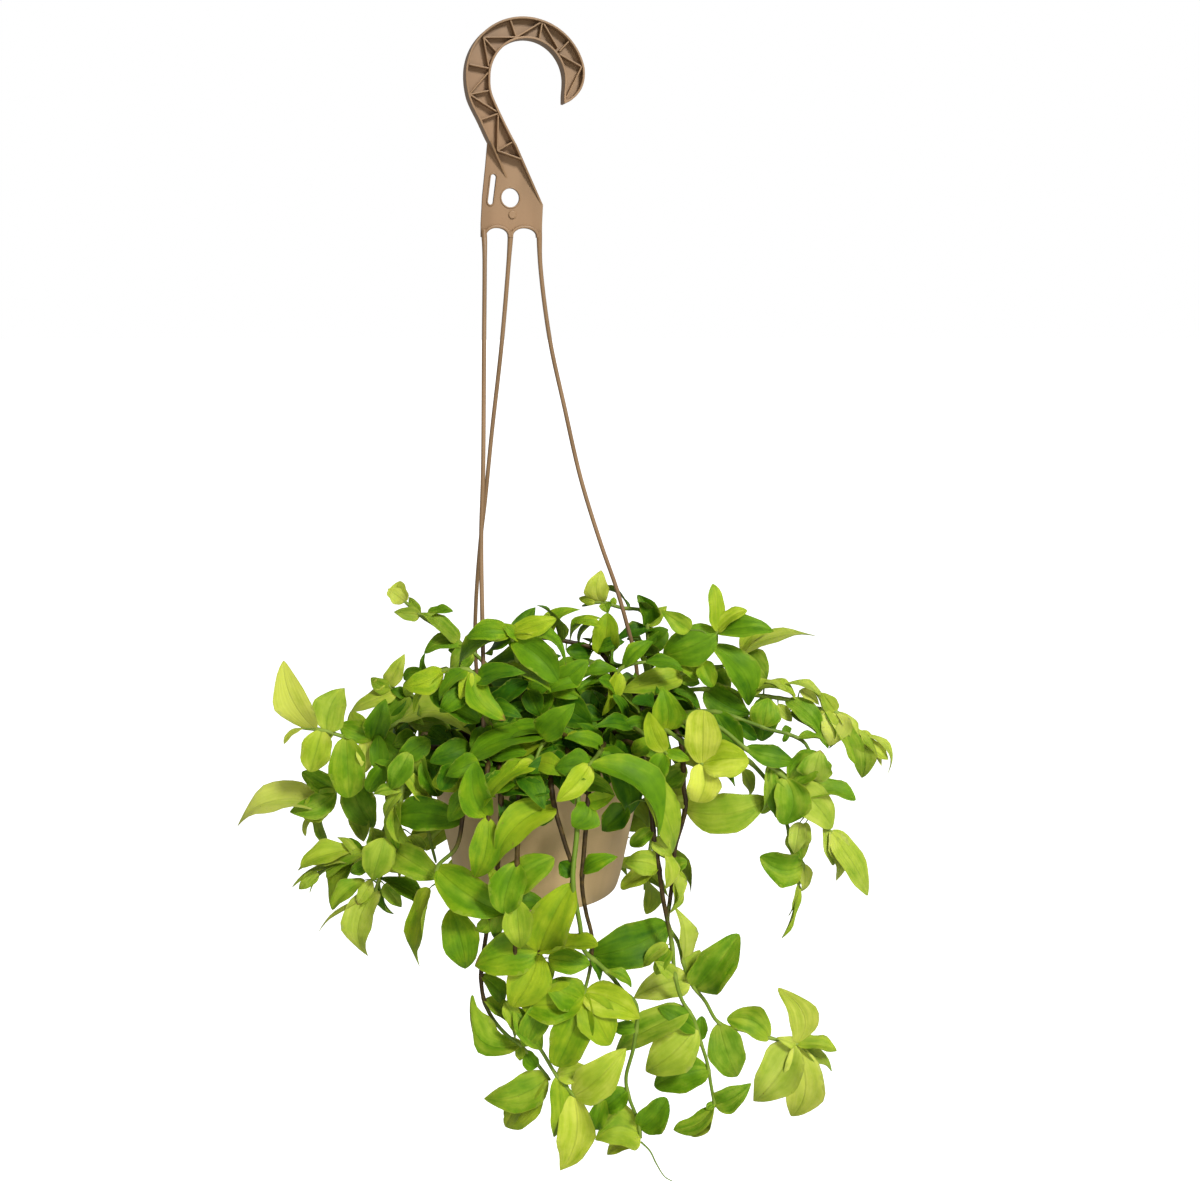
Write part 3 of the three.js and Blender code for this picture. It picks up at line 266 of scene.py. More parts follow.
class Bench:
    """Adds nodes to one tree."""

    def __init__(self, tree):
        self.tree = tree

    def add(self, kind, settings=None, links=None):
        """A node of this kind with its settings made first, then its sockets fed; returns its output."""
        made = self.tree.nodes.new(kind)
        for name, value in (settings or {}).items():
            if name == "stops":
                self.set_stops(made.color_ramp, value)
            else:
                setattr(made, name, value)
        for key, value in (links or {}).items():
            if isinstance(value, Flow):
                self.tree.links.new(value.socket, made.inputs[key])
            else:
                made.inputs[key].default_value = value
        outputs = [o for o in made.outputs if o.enabled]
        return Flow(self, outputs[0]) if outputs else None

    @staticmethod
    def set_stops(ramp, stops):
        """Gives a ramp its stops, each a place and a colour."""
        while len(ramp.elements) < len(stops):
            ramp.elements.new(1)
        for element, (place, shade) in zip(ramp.elements, stops):
            element.position = place
            element.color = (*shade, 1)

    def value(self, name):
        """A named number of the surface."""
        return self.named("FLOAT", name)

    def vector(self, name):
        """A named vector of the surface."""
        return self.named("FLOAT_VECTOR", name)

    def named(self, kind, name):
        """A named value of the surface, in a material or in a Geometry Nodes tree."""
        if self.tree.bl_idname == "GeometryNodeTree":
            return self.add("GeometryNodeInputNamedAttribute", {"data_type": kind}, {"Name": name})
        found = self.add("ShaderNodeAttribute", {"attribute_name": name})
        return found.other("Vector" if kind == "FLOAT_VECTOR" else "Fac")

    def parts(self, vector):
        """The three numbers of a vector."""
        found = self.add("ShaderNodeSeparateXYZ", links={0: vector})
        return found, found.other(1), found.other(2)

    def step(self, value, low, high):
        """A smooth change from 0 to 1 as value goes from low to high."""
        return self.add("ShaderNodeMapRange", {"interpolation_type": "SMOOTHSTEP"}, {
            0: value, 1: low, 2: high,
        })

    def size_of(self, vector):
        """A vector's length."""
        return self.add("ShaderNodeVectorMath", {"operation": "LENGTH"}, {0: vector}).other("Value")

    def shaped(self, operation, *values):
        """One of the Math node's other operations, such as a sine."""
        return self.add("ShaderNodeMath", {"operation": operation}, dict(enumerate(values)))

    def noise(self, place, scale, detail=2.0, roughness=0.5):
        """Soft noise about 0.5."""
        return self.add("ShaderNodeTexNoise", links={
            "Vector": place, "Scale": scale, "Detail": detail, "Roughness": roughness,
        })

    def mixed(self, share, a, b):
        """Two colours mixed."""
        a, b = (c if isinstance(c, Flow) else (*c, 1) for c in (a, b))
        return self.add("ShaderNodeMix", {"data_type": "RGBA"}, {0: share, 6: a, 7: b}).other(2)

    def ramp(self, value, stops):
        """A colour looked up by a value."""
        return self.add("ShaderNodeValToRGB", {"stops": stops}, {0: value})

    def bump(self, height, strength, distance):
        """A normal that follows a height."""
        return self.add("ShaderNodeBump", links={
            "Height": height, "Strength": strength, "Distance": distance,
        })


def new_finish(name):
    """An empty material with its Bench and its place on the object."""
    material = bpy.data.materials.new(name)
    material.use_nodes = True
    material.node_tree.nodes.clear()
    bench = Bench(material.node_tree)
    place = bench.add("ShaderNodeTexCoord").other("Object")
    return material, bench, place


def close_finish(bench, **sockets):
    """The shader that ends a material; a name's underscores stand for spaces."""
    sockets = {name.replace("_", " "): value for name, value in sockets.items()}
    shader = bench.add("ShaderNodeBsdfPrincipled", links=sockets)
    bench.add("ShaderNodeOutputMaterial", links={"Surface": shader})


def geometry_tree(name, inputs):
    """A Geometry Nodes tree with named inputs, given as {name: (socket type, default)}."""
    tree = bpy.data.node_groups.new(name, "GeometryNodeTree")
    tree.interface.new_socket("Geometry", in_out="INPUT", socket_type="NodeSocketGeometry")
    tree.interface.new_socket("Geometry", in_out="OUTPUT", socket_type="NodeSocketGeometry")
    for label, (kind, value) in inputs.items():
        socket = tree.interface.new_socket(label, in_out="INPUT", socket_type="NodeSocket" + kind)
        if value is not None:
            socket.default_value = value
    bench = Bench(tree)
    return bench, bench.add("NodeGroupInput")


def close_tree(bench, geometry, material):
    """Ends a tree: copies made real, then the material."""
    real = bench.add("GeometryNodeRealizeInstances", links={0: geometry})
    finished = bench.add("GeometryNodeSetMaterial", links={"Geometry": real, "Material": material})
    bench.add("NodeGroupOutput", links={"Geometry": finished})
    return bench.tree


# ---------------- meshes

MERGE_GAP = 1e-6  # metres between corners that count as one


def mesh_object(name, places, faces=(), edges=()):
    """A new object in the scene, its mesh given in millimetres."""
    mesh = bpy.data.meshes.new(name)
    mesh.from_pydata((np.asarray(places, float).reshape(-1, 3) * MM).tolist(), list(edges), list(faces))
    made = bpy.data.objects.new(name, mesh)
    bpy.context.scene.collection.objects.link(made)
    return made


def set_values(mesh, **columns):
    """Stores one number or vector for each vertex, under each name."""
    for name, values in columns.items():
        values = np.asarray(values, np.float32)
        vector = values.ndim == 2
        made = mesh.attributes.new(name, "FLOAT_VECTOR" if vector else "FLOAT", "POINT")
        made.data.foreach_set("vector" if vector else "value", values.ravel())


def as_plain_mesh(made):
    """Makes what an object's modifiers show its own mesh."""
    bpy.context.view_layer.update()
    shown = made.evaluated_get(bpy.context.evaluated_depsgraph_get())
    mesh = bpy.data.meshes.new_from_object(shown)
    made.modifiers.clear()
    made.data = mesh
    return made


def grown(made, tree, **values):
    """Runs a tree on an object and keeps the result as its mesh."""
    modifier = made.modifiers.new(tree.name, "NODES")
    modifier.node_group = tree
    sockets = {
        item.name: item.identifier
        for item in tree.interface.items_tree
        if item.item_type == "SOCKET" and item.in_out == "INPUT"
    }
    for label, value in values.items():
        modifier[sockets[label.replace("_", " ")]] = value
    return as_plain_mesh(made)


def joined(name, pieces):
    """Several objects as one."""
    with bpy.context.temp_override(
        active_object=pieces[0], selected_objects=pieces, selected_editable_objects=pieces
    ):
        bpy.ops.object.join()
    pieces[0].name = name
    return pieces[0]


def outward(made):
    """Merges doubles and turns every face outwards."""
    shape = bmesh.new()
    shape.from_mesh(made.data)
    bmesh.ops.remove_doubles(shape, verts=shape.verts, dist=MERGE_GAP)
    bmesh.ops.recalc_face_normals(shape, faces=shape.faces)
    shape.to_mesh(made.data)
    shape.free()
    return made


def softened(made, rounding, segments=2, angle=30.0):
    """Rounds an object's edges and shades it smooth between them."""
    bevel = made.modifiers.new("Rounding", "BEVEL")
    bevel.width = rounding
    bevel.segments = segments
    bevel.limit_method = "ANGLE"
    bevel.angle_limit = math.radians(angle)
    bevel.harden_normals = False
    as_plain_mesh(made)
    made.data.shade_smooth()
    return made


def shaded(made, angle):
    """Shades an object smooth but for edges that turn by more than an angle in degrees."""
    made.data.shade_smooth()
    made.data.set_sharp_from_angle(angle=math.radians(angle))
    return made


def painted(made, material):
    """Gives an object one material."""
    made.data.materials.clear()
    made.data.materials.append(material)
    return made


def finish_piece(made, node=None):
    """Ties a finished piece to the frame."""
    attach(made, "root")
    if node:
        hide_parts(node)
    return made


def lathe(name, profile, segments, centre, drop):
    """A closed turned shape; the profile runs from axis to axis as [radius, height]."""
    places, rows = [], []
    for radius, height in profile:
        count = 1 if radius == 0 else segments
        rows.append(range(len(places), len(places) + count))
        for i in range(count):
            a = 2 * math.pi * i / segments
            places.append((centre + radius * math.cos(a), radius * math.sin(a), drop + height))
    faces = []
    for low, high in zip(rows, rows[1:]):
        for i in range(segments):
            j = (i + 1) % segments
            corners = [low[i % len(low)], low[j % len(low)], high[j % len(high)], high[i % len(high)]]
            faces.append(tuple(dict.fromkeys(corners)))
    return outward(mesh_object(name, places, faces))


# ---------------- the reference view

# The photograph's camera: its place, how far it looks down, and its focal length and picture in points.
VIEW_PLACE = point(47, -979.6, -162.2)
VIEW_TILT = math.radians(11.6)
VIEW_COS, VIEW_SIN = math.cos(VIEW_TILT), math.sin(VIEW_TILT)
VIEW_FOCAL, VIEW_SIZE = 1460, 1200
VIEW_CENTRE = VIEW_SIZE / 2


def seen(u, v, near):
    """The place that the picture shows at [u, v], `near` mm in front of the pot's axis."""
    across = (u - VIEW_CENTRE) / VIEW_FOCAL
    upward = (VIEW_CENTRE - v) / VIEW_FOCAL
    sight = point(across, VIEW_COS + upward * VIEW_SIN, -VIEW_SIN + upward * VIEW_COS)
    return VIEW_PLACE + sight * ((-near - VIEW_PLACE[1]) / sight[1])


def in_picture(place):
    """Where the picture shows a place, as [u, v]."""
    across, away, up = place - VIEW_PLACE
    depth = away * VIEW_COS - up * VIEW_SIN
    rise = away * VIEW_SIN + up * VIEW_COS
    return point(VIEW_CENTRE + VIEW_FOCAL * across / depth, VIEW_CENTRE - VIEW_FOCAL * rise / depth)


# ---------------- the shoots' tables

# Each shoot: name, where it stands on the soil [x, y], the line it follows as [u, v, near], and its leaves.
# A leaf is [place along the line, tip u, tip v, how far its tip comes forward in mm, seen width, sideways
# bow, tone]. Width and bow are in picture points, and tone runs from 0, deep green, to 1, yellow-green.
# The tone was read off how light or dark each leaf looks, so it holds painted light and shade as well as
# the leaf's own hue.
# Where an eighth number follows, it says how pointed the tip is.
SHOOTS = [
    ["left_high", [-38, -6],
    [[447, 722, 2], [424, 715, 14], [400, 722, 24], [372, 738, 32], [346, 737, 36], [322, 730, 38],
     [301, 728, 38]],
    [[2, 469, 728, 22, 26, 10, 0.55], [3, 413, 768, 12, 34, 0, 0.3], [4, 349, 798, 4, 36, 0, 0.5],
     [3.2, 366, 772, 10, 20, 0, 0.85], [3, 350, 711, -10, 20, 3, 0.6], [4.8, 345, 687, -14, 34, 6, 0.45],
     [5.3, 281, 663, 4, 30, 2, 0.95], [5, 310, 772, 8, 30, 0, 0.72], [4.5, 312, 768, -4, 6, 0, 0.5],
     [6, 283, 743, 6, 5, 0, 0.85]]],
    ["left_low", [-46, 18],
    [[440, 722, -8], [414, 726, -2], [384, 748, 6], [352, 780, 14], [333, 793, 18], [319, 806, 20],
     [312, 815, 20]],
    [[4.8, 234, 820, 6, 30, -7, 0.78], [3.8, 290, 812, 14, 26, 6, 0.35], [4.6, 305, 820, 8, 26, 0, 0.7],
     [5.5, 326, 850, 2, 12, 3, 0.35], [6, 304, 836, 4, 5, 0, 0.75], [4, 312, 770, -8, 14, 0, 0.35],
     [3, 374, 828, 8, 34, -4, 0.25]]],
    ["left_drop", [-50, -8],
    [[442, 736, 26], [416, 742, 36], [398, 762, 42], [394, 795, 42], [386, 825, 42], [372, 850, 42],
     [357, 862, 42]],
    [[6, 296, 866, 4, 22, -3, 0.65], [5.8, 338, 836, -4, 12, 0, 0.6], [5.5, 345, 840, -10, 14, 0, 0.35],
     [5, 440, 872, 14, 34, 3, 0.55], [5.2, 325, 876, 8, 16, -3, 0.5], [4.9, 332, 910, 8, 17, -4, 0.6],
     [5.6, 306, 890, 2, 10, 0, 0.45], [5.9, 291, 885, 6, 5, 0, 0.7], [4.6, 371, 829, 6, 24, 0, 0.4]]],
    ["left_drop_near", [-44, -30],
    [[446, 748, 46], [424, 750, 58], [406, 772, 64], [399, 815, 64], [390, 850, 62], [380, 878, 60],
     [374, 896, 60]],
    [[5.6, 364, 959, 6, 30, -9, 0.55], [5, 429, 905, 8, 15, -3, 0.25], [5.1, 393, 915, -4, 7, 0, 0.2],
     [6, 313, 928, 4, 5, 3, 0.7], [5.9, 352, 912, 2, 9, 0, 0.6], [3, 462, 821, 20, 34, 4, 0.25],
     [1.2, 436, 797, 8, 14, 3, 0.35], [2, 431, 807, 4, 16, -3, 0.6], [2.4, 372, 793, 0, 13, 0, 0.4]]],
    ["front_brown", [-20, -50],
    [[500, 750, 66], [500, 772, 90], [501, 810, 98], [498, 860, 102], [496, 895, 102], [490, 915, 102],
     [485, 942, 100], [481, 975, 98], [484, 1000, 98], [493, 1019, 98], [508, 1036, 98], [520, 1045, 98],
     [534, 1060, 98], [550, 1080, 98]],
    [[11, 471, 996, 6, 24, 27, 0.4], [11, 520, 1061, 4, 10, 0, 0.45], [11.4, 538, 1067, 0, 16, -3, 0.32],
     [13, 483, 1099, 6, 34, 7, 0.4], [13, 503, 1125, 0, 19, 3, 0.6], [4, 554, 858, 10, 34, 3, 0.5],
     [5, 548, 903, 6, 24, 3, 0.2], [5, 477, 932, 0, 16, 3, 0.45], [8, 520, 1038, 2, 14, 0, 0.35],
     [7, 505, 1004, -6, 16, 0, 0.3]]],
    ["front_second", [-4, -54],
    [[524, 752, 68], [520, 776, 94], [518, 830, 106], [516, 900, 110], [515, 960, 108], [514, 1008, 106],
     [522, 1026, 106], [541, 1050, 106], [557, 1076, 106], [576, 1098, 106]],
    [[9, 560, 1171, 6, 36, 9, 0.88, 0.95], [9, 624, 1050, 4, 38, -4, 0.72], [8, 556, 1138, 6, 22, 0, 0.55],
     [8, 591, 1068, -6, 20, 0, 0.6], [5, 543, 1050, 4, 22, -3, 0.35]]],
    ["front_left", [-34, -38],
    [[478, 748, 52], [468, 766, 80], [463, 815, 92], [456, 848, 94], [437, 868, 96], [443, 895, 94],
     [452, 910, 92]],
    [[4, 503, 912, 10, 40, -5, 0.45], [6, 466, 971, 4, 36, 2, 0.35], [1, 432, 785, 6, 28, 4, 0.65]]],
    ["front_left_upright", [-28, -46],
    [[488, 746, 58], [488, 766, 86], [485, 790, 96], [488, 817, 100], [491, 850, 102], [489, 869, 102]],
    [[3, 474, 763, 4, 32, 8, 0.4], [3, 474, 880, 6, 32, 5, 0.45], [5, 497, 888, 2, 10, 0, 0.6]]],
    ["front_mid", [6, -50],
    [[547, 750, 64], [550, 776, 92], [554, 805, 104], [564, 840, 106], [573, 875, 106], [562, 910, 106],
     [548, 935, 106], [539, 952, 106], [545, 962, 106]],
    [[7, 572, 884, 6, 44, 3, 0.62], [7, 474, 966, 4, 42, -4, 0.4], [7, 512, 1008, 8, 42, 4, 0.65],
     [7, 598, 946, 6, 17, -2, 0.5], [8, 552, 981, 2, 9, 0, 0.5], [4, 560, 862, -2, 18, 0, 0.1],
     [2, 493, 864, 8, 36, -9, 0.5], [1.6, 508, 800, -4, 24, 0, 0.08]]],
    ["front_pale", [16, -44],
    [[566, 750, 66], [577, 780, 92], [577, 830, 100], [573, 880, 112], [580, 925, 112], [584, 950, 108],
     [600, 965, 104], [612, 977, 102], [622, 990, 102], [636, 1004, 102], [634, 1045, 102],
     [626, 1078, 102], [629, 1097, 102], [638, 1121, 102], [641, 1138, 102]],
    [[11.6, 602, 1110, 2, 24, 0, 0.3], [14, 596, 1140, 6, 40, -11, 0.5], [14, 606, 1153, 0, 10, 0, 0.78],
     [13.4, 667, 1098, 4, 28, -4, 0.35], [6.5, 633, 986, 0, 10, 0, 0.35], [5.5, 601, 981, -6, 10, 0, 0.1],
     [9.6, 609, 1028, -4, 14, 0, 0.1]]],
    ["front_right_mid", [22, -50],
    [[584, 752, 66], [589, 777, 94], [588, 803, 100], [584, 850, 102], [582, 885, 104], [586, 912, 104],
     [592, 938, 104], [590, 968, 106], [583, 997, 108]],
    [[8, 520, 1004, 4, 38, 5, 0.55], [8, 641, 1019, 4, 34, 4, 0.65], [8, 611, 1046, 8, 38, 0, 0.6],
     [7.8, 556, 1067, 6, 38, 3, 0.55], [3.6, 616, 856, 6, 17, 0, 0.3], [2, 573, 827, 8, 30, 6, 0.35],
     [2, 614, 796, 2, 18, 0, 0.4]]],
    ["right_front", [34, -40],
    [[603, 744, 60], [600, 752, 84], [589, 765, 106]],
    [[2, 660, 838, 4, 32, 12, 0.3], [2, 555, 768, -2, 32, 0, 0.15], [2, 557, 801, 16, 25, 3, 0.7],
     [0.8, 629, 768, 4, 16, 3, 0.35], [1, 629, 822, -8, 30, 5, 0.05]]],
    ["right_long", [53, -12],
    [[642, 716, 18], [664, 718, 34], [679, 736, 44], [683, 762, 48], [684, 790, 48], [686, 803, 48],
     [683, 820, 48], [675, 848, 50], [674, 870, 50], [670, 900, 52], [668, 925, 52], [678, 942, 52],
     [684, 965, 52], [691, 983, 52], [705, 1001, 52], [719, 1023, 52], [745, 1031, 52], [770, 1038, 52],
     [800, 1045, 52]],
    [[5.4, 768, 800, 12, 40, -9, 0.55], [5, 671, 800, 0, 14, 0, 0.5], [3, 669, 788, -8, 22, 0, 0.35],
     [7.8, 687, 861, 2, 15, 0, 0.4], [7.8, 674, 915, 4, 10, 0, 0.6], [10, 588, 956, 18, 44, 7, 0.16, 0.6],
     [11.8, 680, 908, 0, 17, 0, 0.6], [12.6, 700, 950, -6, 19, 0, 0.6], [13.3, 739, 935, 6, 38, -2, 0.4],
     [12.8, 634, 998, 8, 32, -4, 0.6], [15, 738, 1078, 6, 36, -2, 0.4], [17, 727, 1018, -4, 28, -8, 0.55],
     [18, 778, 1038, 6, 11, 0, 0.7], [18, 779, 989, 2, 29, -15, 0.85], [17.8, 752, 1103, 8, 42, 5, 0.55],
     [18, 791, 1119, 6, 38, 11, 0.85], [18, 837, 1050, 2, 15, 0, 0.6], [18, 836, 1068, -6, 13, -3, 0.45]]],
    ["right_inner", [44, -36],
    [[625, 742, 52], [640, 754, 74], [649, 790, 80], [654, 838, 80], [659, 868, 80], [663, 898, 76],
     [672, 945, 74], [675, 975, 74], [682, 1000, 74], [693, 1018, 74], [700, 1040, 74], [707, 1062, 74],
     [711, 1085, 74], [715, 1107, 74]],
    [[1.6, 676, 853, -6, 32, -2, 0.52], [3, 672, 857, 2, 17, 0, 0.5], [4, 625, 862, 4, 26, -3, 0.5],
     [4, 620, 888, -2, 17, 3, 0.72], [7, 656, 962, 4, 15, 0, 0.5], [9.6, 660, 1007, 4, 20, 0, 0.2],
     [10, 702, 1016, -4, 13, 0, 0.3], [9.4, 645, 1072, 8, 42, 4, 0.6], [11.3, 654, 1086, 4, 34, -3, 0.35],
     [13, 750, 1084, 4, 24, -3, 0.3], [13, 672, 1128, 4, 16, 12, 0.4], [13, 688, 1134, -2, 14, 10, 0.75],
     [8.6, 613, 1049, 10, 33, 4, 0.4], [12.8, 706, 1110, 2, 8, 0, 0.4]]],
    ["right_yellow", [45, -24],
    [[630, 722, 38], [655, 724, 54], [682, 742, 66], [705, 767, 72]],
    [[3, 703, 711, 4, 37, 0, 0.92, 0.36], [3, 697, 803, 6, 33, 5, 0.9, 0.45],
     [3, 748, 760, 8, 38, 3, 0.74, 0.5], [3, 736, 786, -4, 11, 0, 0.3], [1.4, 662, 689, 4, 36, -4, 0.4]]],
    ["right_bud", [30, -30],
    [[628, 728, 50], [648, 738, 72], [667, 754, 90]],
    [[2, 649, 713, 6, 22, 3, 0.7], [1.2, 632, 753, 0, 18, 0, 0.35], [2, 690, 760, 2, 12, 0, 0.4],
     [1.9, 652, 782, 2, 22, 0, 0.32]]],
    ["right_top", [26, 2],
    [[632, 700, 0], [655, 690, 6], [682, 674, 10], [702, 661, 14], [712, 645, 16], [718, 630, 16]],
    [[5, 715, 584, 2, 15, 5, 0.6], [5, 747, 610, 4, 15, 2, 0.75], [4.8, 773, 628, 8, 20, -2, 0.25],
     [5, 663, 656, -4, 40, 3, 0.35], [2, 621, 689, 12, 28, 4, 0.5], [4, 753, 705, -4, 28, 4, 0.25],
     [3, 713, 687, 8, 20, 0, 0.5], [1, 702, 706, 6, 16, 0, 0.12]]],
    ["right_top_far", [34, 26],
    [[640, 690, -26], [672, 672, -20], [705, 668, -14], [733, 663, -10], [742, 650, -8]],
    [[4, 816, 632, 4, 17, -3, 0.7], [4, 769, 628, 0, 15, 3, 0.7], [4, 767, 679, 8, 25, 4, 0.35],
     [3.4, 714, 648, 2, 16, 0, 0.4]]],
    ["right_arm", [52, 14],
    [[640, 706, -10], [668, 694, -4], [705, 689, 0], [745, 694, 2], [790, 700, 2], [816, 708, 2],
     [836, 712, 2], [852, 724, 2], [862, 735, 2]],
    [[3, 763, 689, 4, 10, 0, 0.6], [3, 796, 695, 8, 11, 3, 0.65], [5.3, 788, 681, 4, 10, -3, 0.55],
     [6, 822, 693, 2, 16, 0, 0.65], [6, 829, 746, 8, 32, 3, 0.78], [7.4, 862, 779, 4, 24, 5, 0.45],
     [7.7, 889, 759, 2, 13, -7, 0.82], [2, 751, 714, 10, 30, -4, 0.1], [3.9, 823, 738, 10, 22, 4, 0.35],
     [5.4, 829, 749, 0, 9, 4, 0.2], [8, 891, 774, -2, 5, 6, 0.6]]],
    ["right_arm_low", [58, 4],
    [[650, 724, 10], [678, 714, 16], [715, 712, 22], [748, 722, 26], [772, 730, 28], [788, 734, 28],
     [804, 742, 28], [812, 757, 28]],
    [[3.6, 768, 698, -4, 32, 0, 0.38], [5, 783, 742, 2, 6, 0, 0.3], [5, 785, 725, -2, 10, 0, 0.2],
     [7, 816, 787, 6, 36, 0, 0.42], [5.6, 829, 741, 0, 7, 0, 0.3], [2, 742, 757, 12, 30, 0, 0.12]]],
    ["right_fall", [56, -22],
    [[648, 734, 30], [672, 724, 46], [712, 724, 54], [745, 748, 58], [771, 767, 58], [790, 782, 58],
     [806, 802, 58], [818, 822, 58], [832, 832, 58]],
    [[3, 795, 761, 2, 20, -6, 0.15], [4.7, 784, 825, 8, 36, 9, 0.42], [4, 781, 820, -6, 22, -2, 0.12],
     [5, 833, 829, 6, 34, 4, 0.62], [5.6, 856, 799, 0, 20, 3, 0.45], [7.4, 836, 866, 2, 15, -3, 0.5],
     [8, 870, 895, 4, 26, -3, 0.65], [8, 841, 882, 2, 18, 0, 0.6], [3.9, 762, 815, -8, 16, 0, 0.4],
     [5, 818, 752, -6, 30, 0, 0.38]]],
    ["right_fall_far", [61, -4],
    [[652, 738, 16], [680, 732, 28], [725, 744, 40], [760, 772, 42], [778, 800, 42], [788, 828, 42],
     [792, 853, 42], [803, 864, 42], [798, 887, 42]],
    [[5.2, 802, 860, 6, 22, 3, 0.45], [7, 760, 857, 6, 34, 9, 0.4], [7, 804, 893, -2, 12, 0, 0.62],
     [8, 790, 917, 2, 7, -3, 0.5], [8, 782, 939, -2, 5, -2, 0.6]]],
    ["top_left_spray", [-24, 8],
    [[505, 692, -30], [488, 667, -32], [470, 650, -34], [452, 638, -36], [436, 626, -36], [420, 615, -36],
     [403, 600, -36]],
    [[6, 388, 589, 2, 17, 0, 0.85], [6, 399, 581, -4, 20, 5, 0.85], [5, 394, 612, 4, 15, 0, 0.45],
     [5, 409, 597, -2, 10, 0, 0.5], [4.6, 453, 611, 4, 10, 2, 0.4], [2.6, 423, 611, 6, 18, 3, 0.42],
     [2.3, 424, 652, 6, 16, -6, 0.35], [2, 450, 669, 6, 24, 0, 0.3]]],
    ["top_mid_left", [-8, -28],
    [[524, 706, 44], [519, 672, 56], [514, 646, 62], [511, 631, 64]],
    [[3, 466, 638, 4, 22, -6, 0.35], [3, 556, 619, 4, 22, -1, 0.65], [2.8, 452, 670, -34, 20, -4, 0.3],
     [2.5, 489, 654, -24, 14, 0, 0.15], [2.4, 558, 681, 8, 32, 5, 0.35], [2.7, 569, 661, 2, 11, 6, 0.3]]],
    ["top_brown", [10, 24],
    [[612, 690, -12], [604, 656, -10], [590, 647, -8], [570, 642, -6], [545, 638, -4], [520, 636, -2]],
    [[3, 600, 616, -2, 7, 4, 0.5], [2.6, 596, 622, 2, 7, 3, 0.5], [4, 578, 607, -4, 16, 5, 0.45],
     [1.6, 624, 641, 4, 13, 0, 0.15], [1, 608, 613, 0, 28, 0, 0.6], [4.6, 548, 617, 2, 16, 0, 0.6]]],
    ["top_right_bud", [18, 40],
    [[648, 680, -40], [648, 650, -42], [647, 625, -42], [642, 611, -42], [622, 608, -42], [600, 602, -42],
     [582, 606, -42]],
    [[5, 601, 571, 2, 25, 4, 0.78], [5.2, 579, 598, 2, 10, 0, 0.7], [4.8, 608, 613, 4, 13, 0, 0.35],
     [4.4, 614, 597, -2, 7, 0, 0.5], [2, 638, 595, 6, 19, -7, 0.22], [2, 667, 606, -2, 15, 0, 0.5],
     [1.5, 668, 630, 6, 15, 0, 0.22]]],
    ["crown_left", [-22, -22],
    [[484, 712, 70], [478, 690, 76], [471, 671, 78], [448, 670, 76], [424, 676, 72]],
    [[2, 508, 718, 12, 24, -14, 0.36], [2, 460, 699, 8, 14, 0, 0.72], [3, 471, 723, -16, 34, 8, 0.2],
     [3.2, 403, 687, 6, 26, 4, 0.55], [3.8, 403, 679, -6, 14, -4, 0.3], [3.9, 423, 653, 0, 6, 0, 0.25],
     [3, 411, 711, 4, 6, 0, 0.55]]],
    ["crown_left_low", [-36, 30],
    [[445, 712, -24], [425, 702, -18], [408, 694, -14], [392, 688, -12], [384, 681, -10]],
    [[3.4, 404, 655, 2, 18, 0, 0.62], [3, 371, 678, 4, 16, 3, 0.5], [4, 372, 687, 2, 12, 0, 0.9],
     [2, 391, 690, 4, 12, 0, 0.15], [1.4, 389, 721, 8, 20, 4, 0.1], [2, 371, 731, 6, 28, 4, 0.2],
     [2.6, 349, 711, 6, 20, 3, 0.65]]],
    ["crown_mid", [6, -20],
    [[545, 736, 24], [556, 714, 34], [551, 691, 40], [557, 672, 42]],
    [[2, 512, 684, 8, 14, 0, 0.6], [2, 490, 679, 0, 24, 4, 0.1], [3, 480, 673, 10, 15, -6, 0.35],
     [3, 522, 655, 2, 13, 0, 0.55], [2, 588, 661, 4, 26, 0, 0.35], [2.2, 581, 698, 8, 16, 0, 0.35],
     [1.6, 592, 724, 8, 34, 0, 0.08], [1.2, 539, 736, 10, 26, 0, 0.3], [2.2, 508, 742, -4, 36, 0, 0.12]]],
    ["crown_front", [12, -32],
    [[562, 744, 44], [565, 736, 60], [556, 734, 74], [542, 745, 84], [534, 766, 92]],
    [[1.8, 499, 766, 16, 20, 2, 0.6], [2, 465, 757, 10, 20, 3, 0.3], [2, 529, 759, 8, 14, 0, 0.5],
     [1.6, 496, 739, 6, 20, 0, 0.25], [4, 566, 775, 17, 22, 5, 0.55], [4, 502, 786, 8, 28, 4, 0.68],
     [4, 482, 804, 6, 22, 0, 0.48], [1, 593, 752, 14, 11, 0, 0.65]]],
    ["crown_right", [20, -14],
    [[606, 728, 20], [612, 700, 26], [618, 671, 30], [632, 664, 30], [646, 662, 30]],
    [[2, 606, 717, 8, 15, -3, 0.58], [1.6, 580, 686, 6, 12, 0, 0.35], [2, 579, 678, 2, 12, 0, 0.35],
     [4, 684, 668, 4, 12, 0, 0.2], [0.2, 591, 716, 6, 14, 0, 0.3], [0.3, 646, 723, 8, 18, 4, 0.3],
     [2.4, 652, 640, -4, 16, 0, 0.3]]],
]
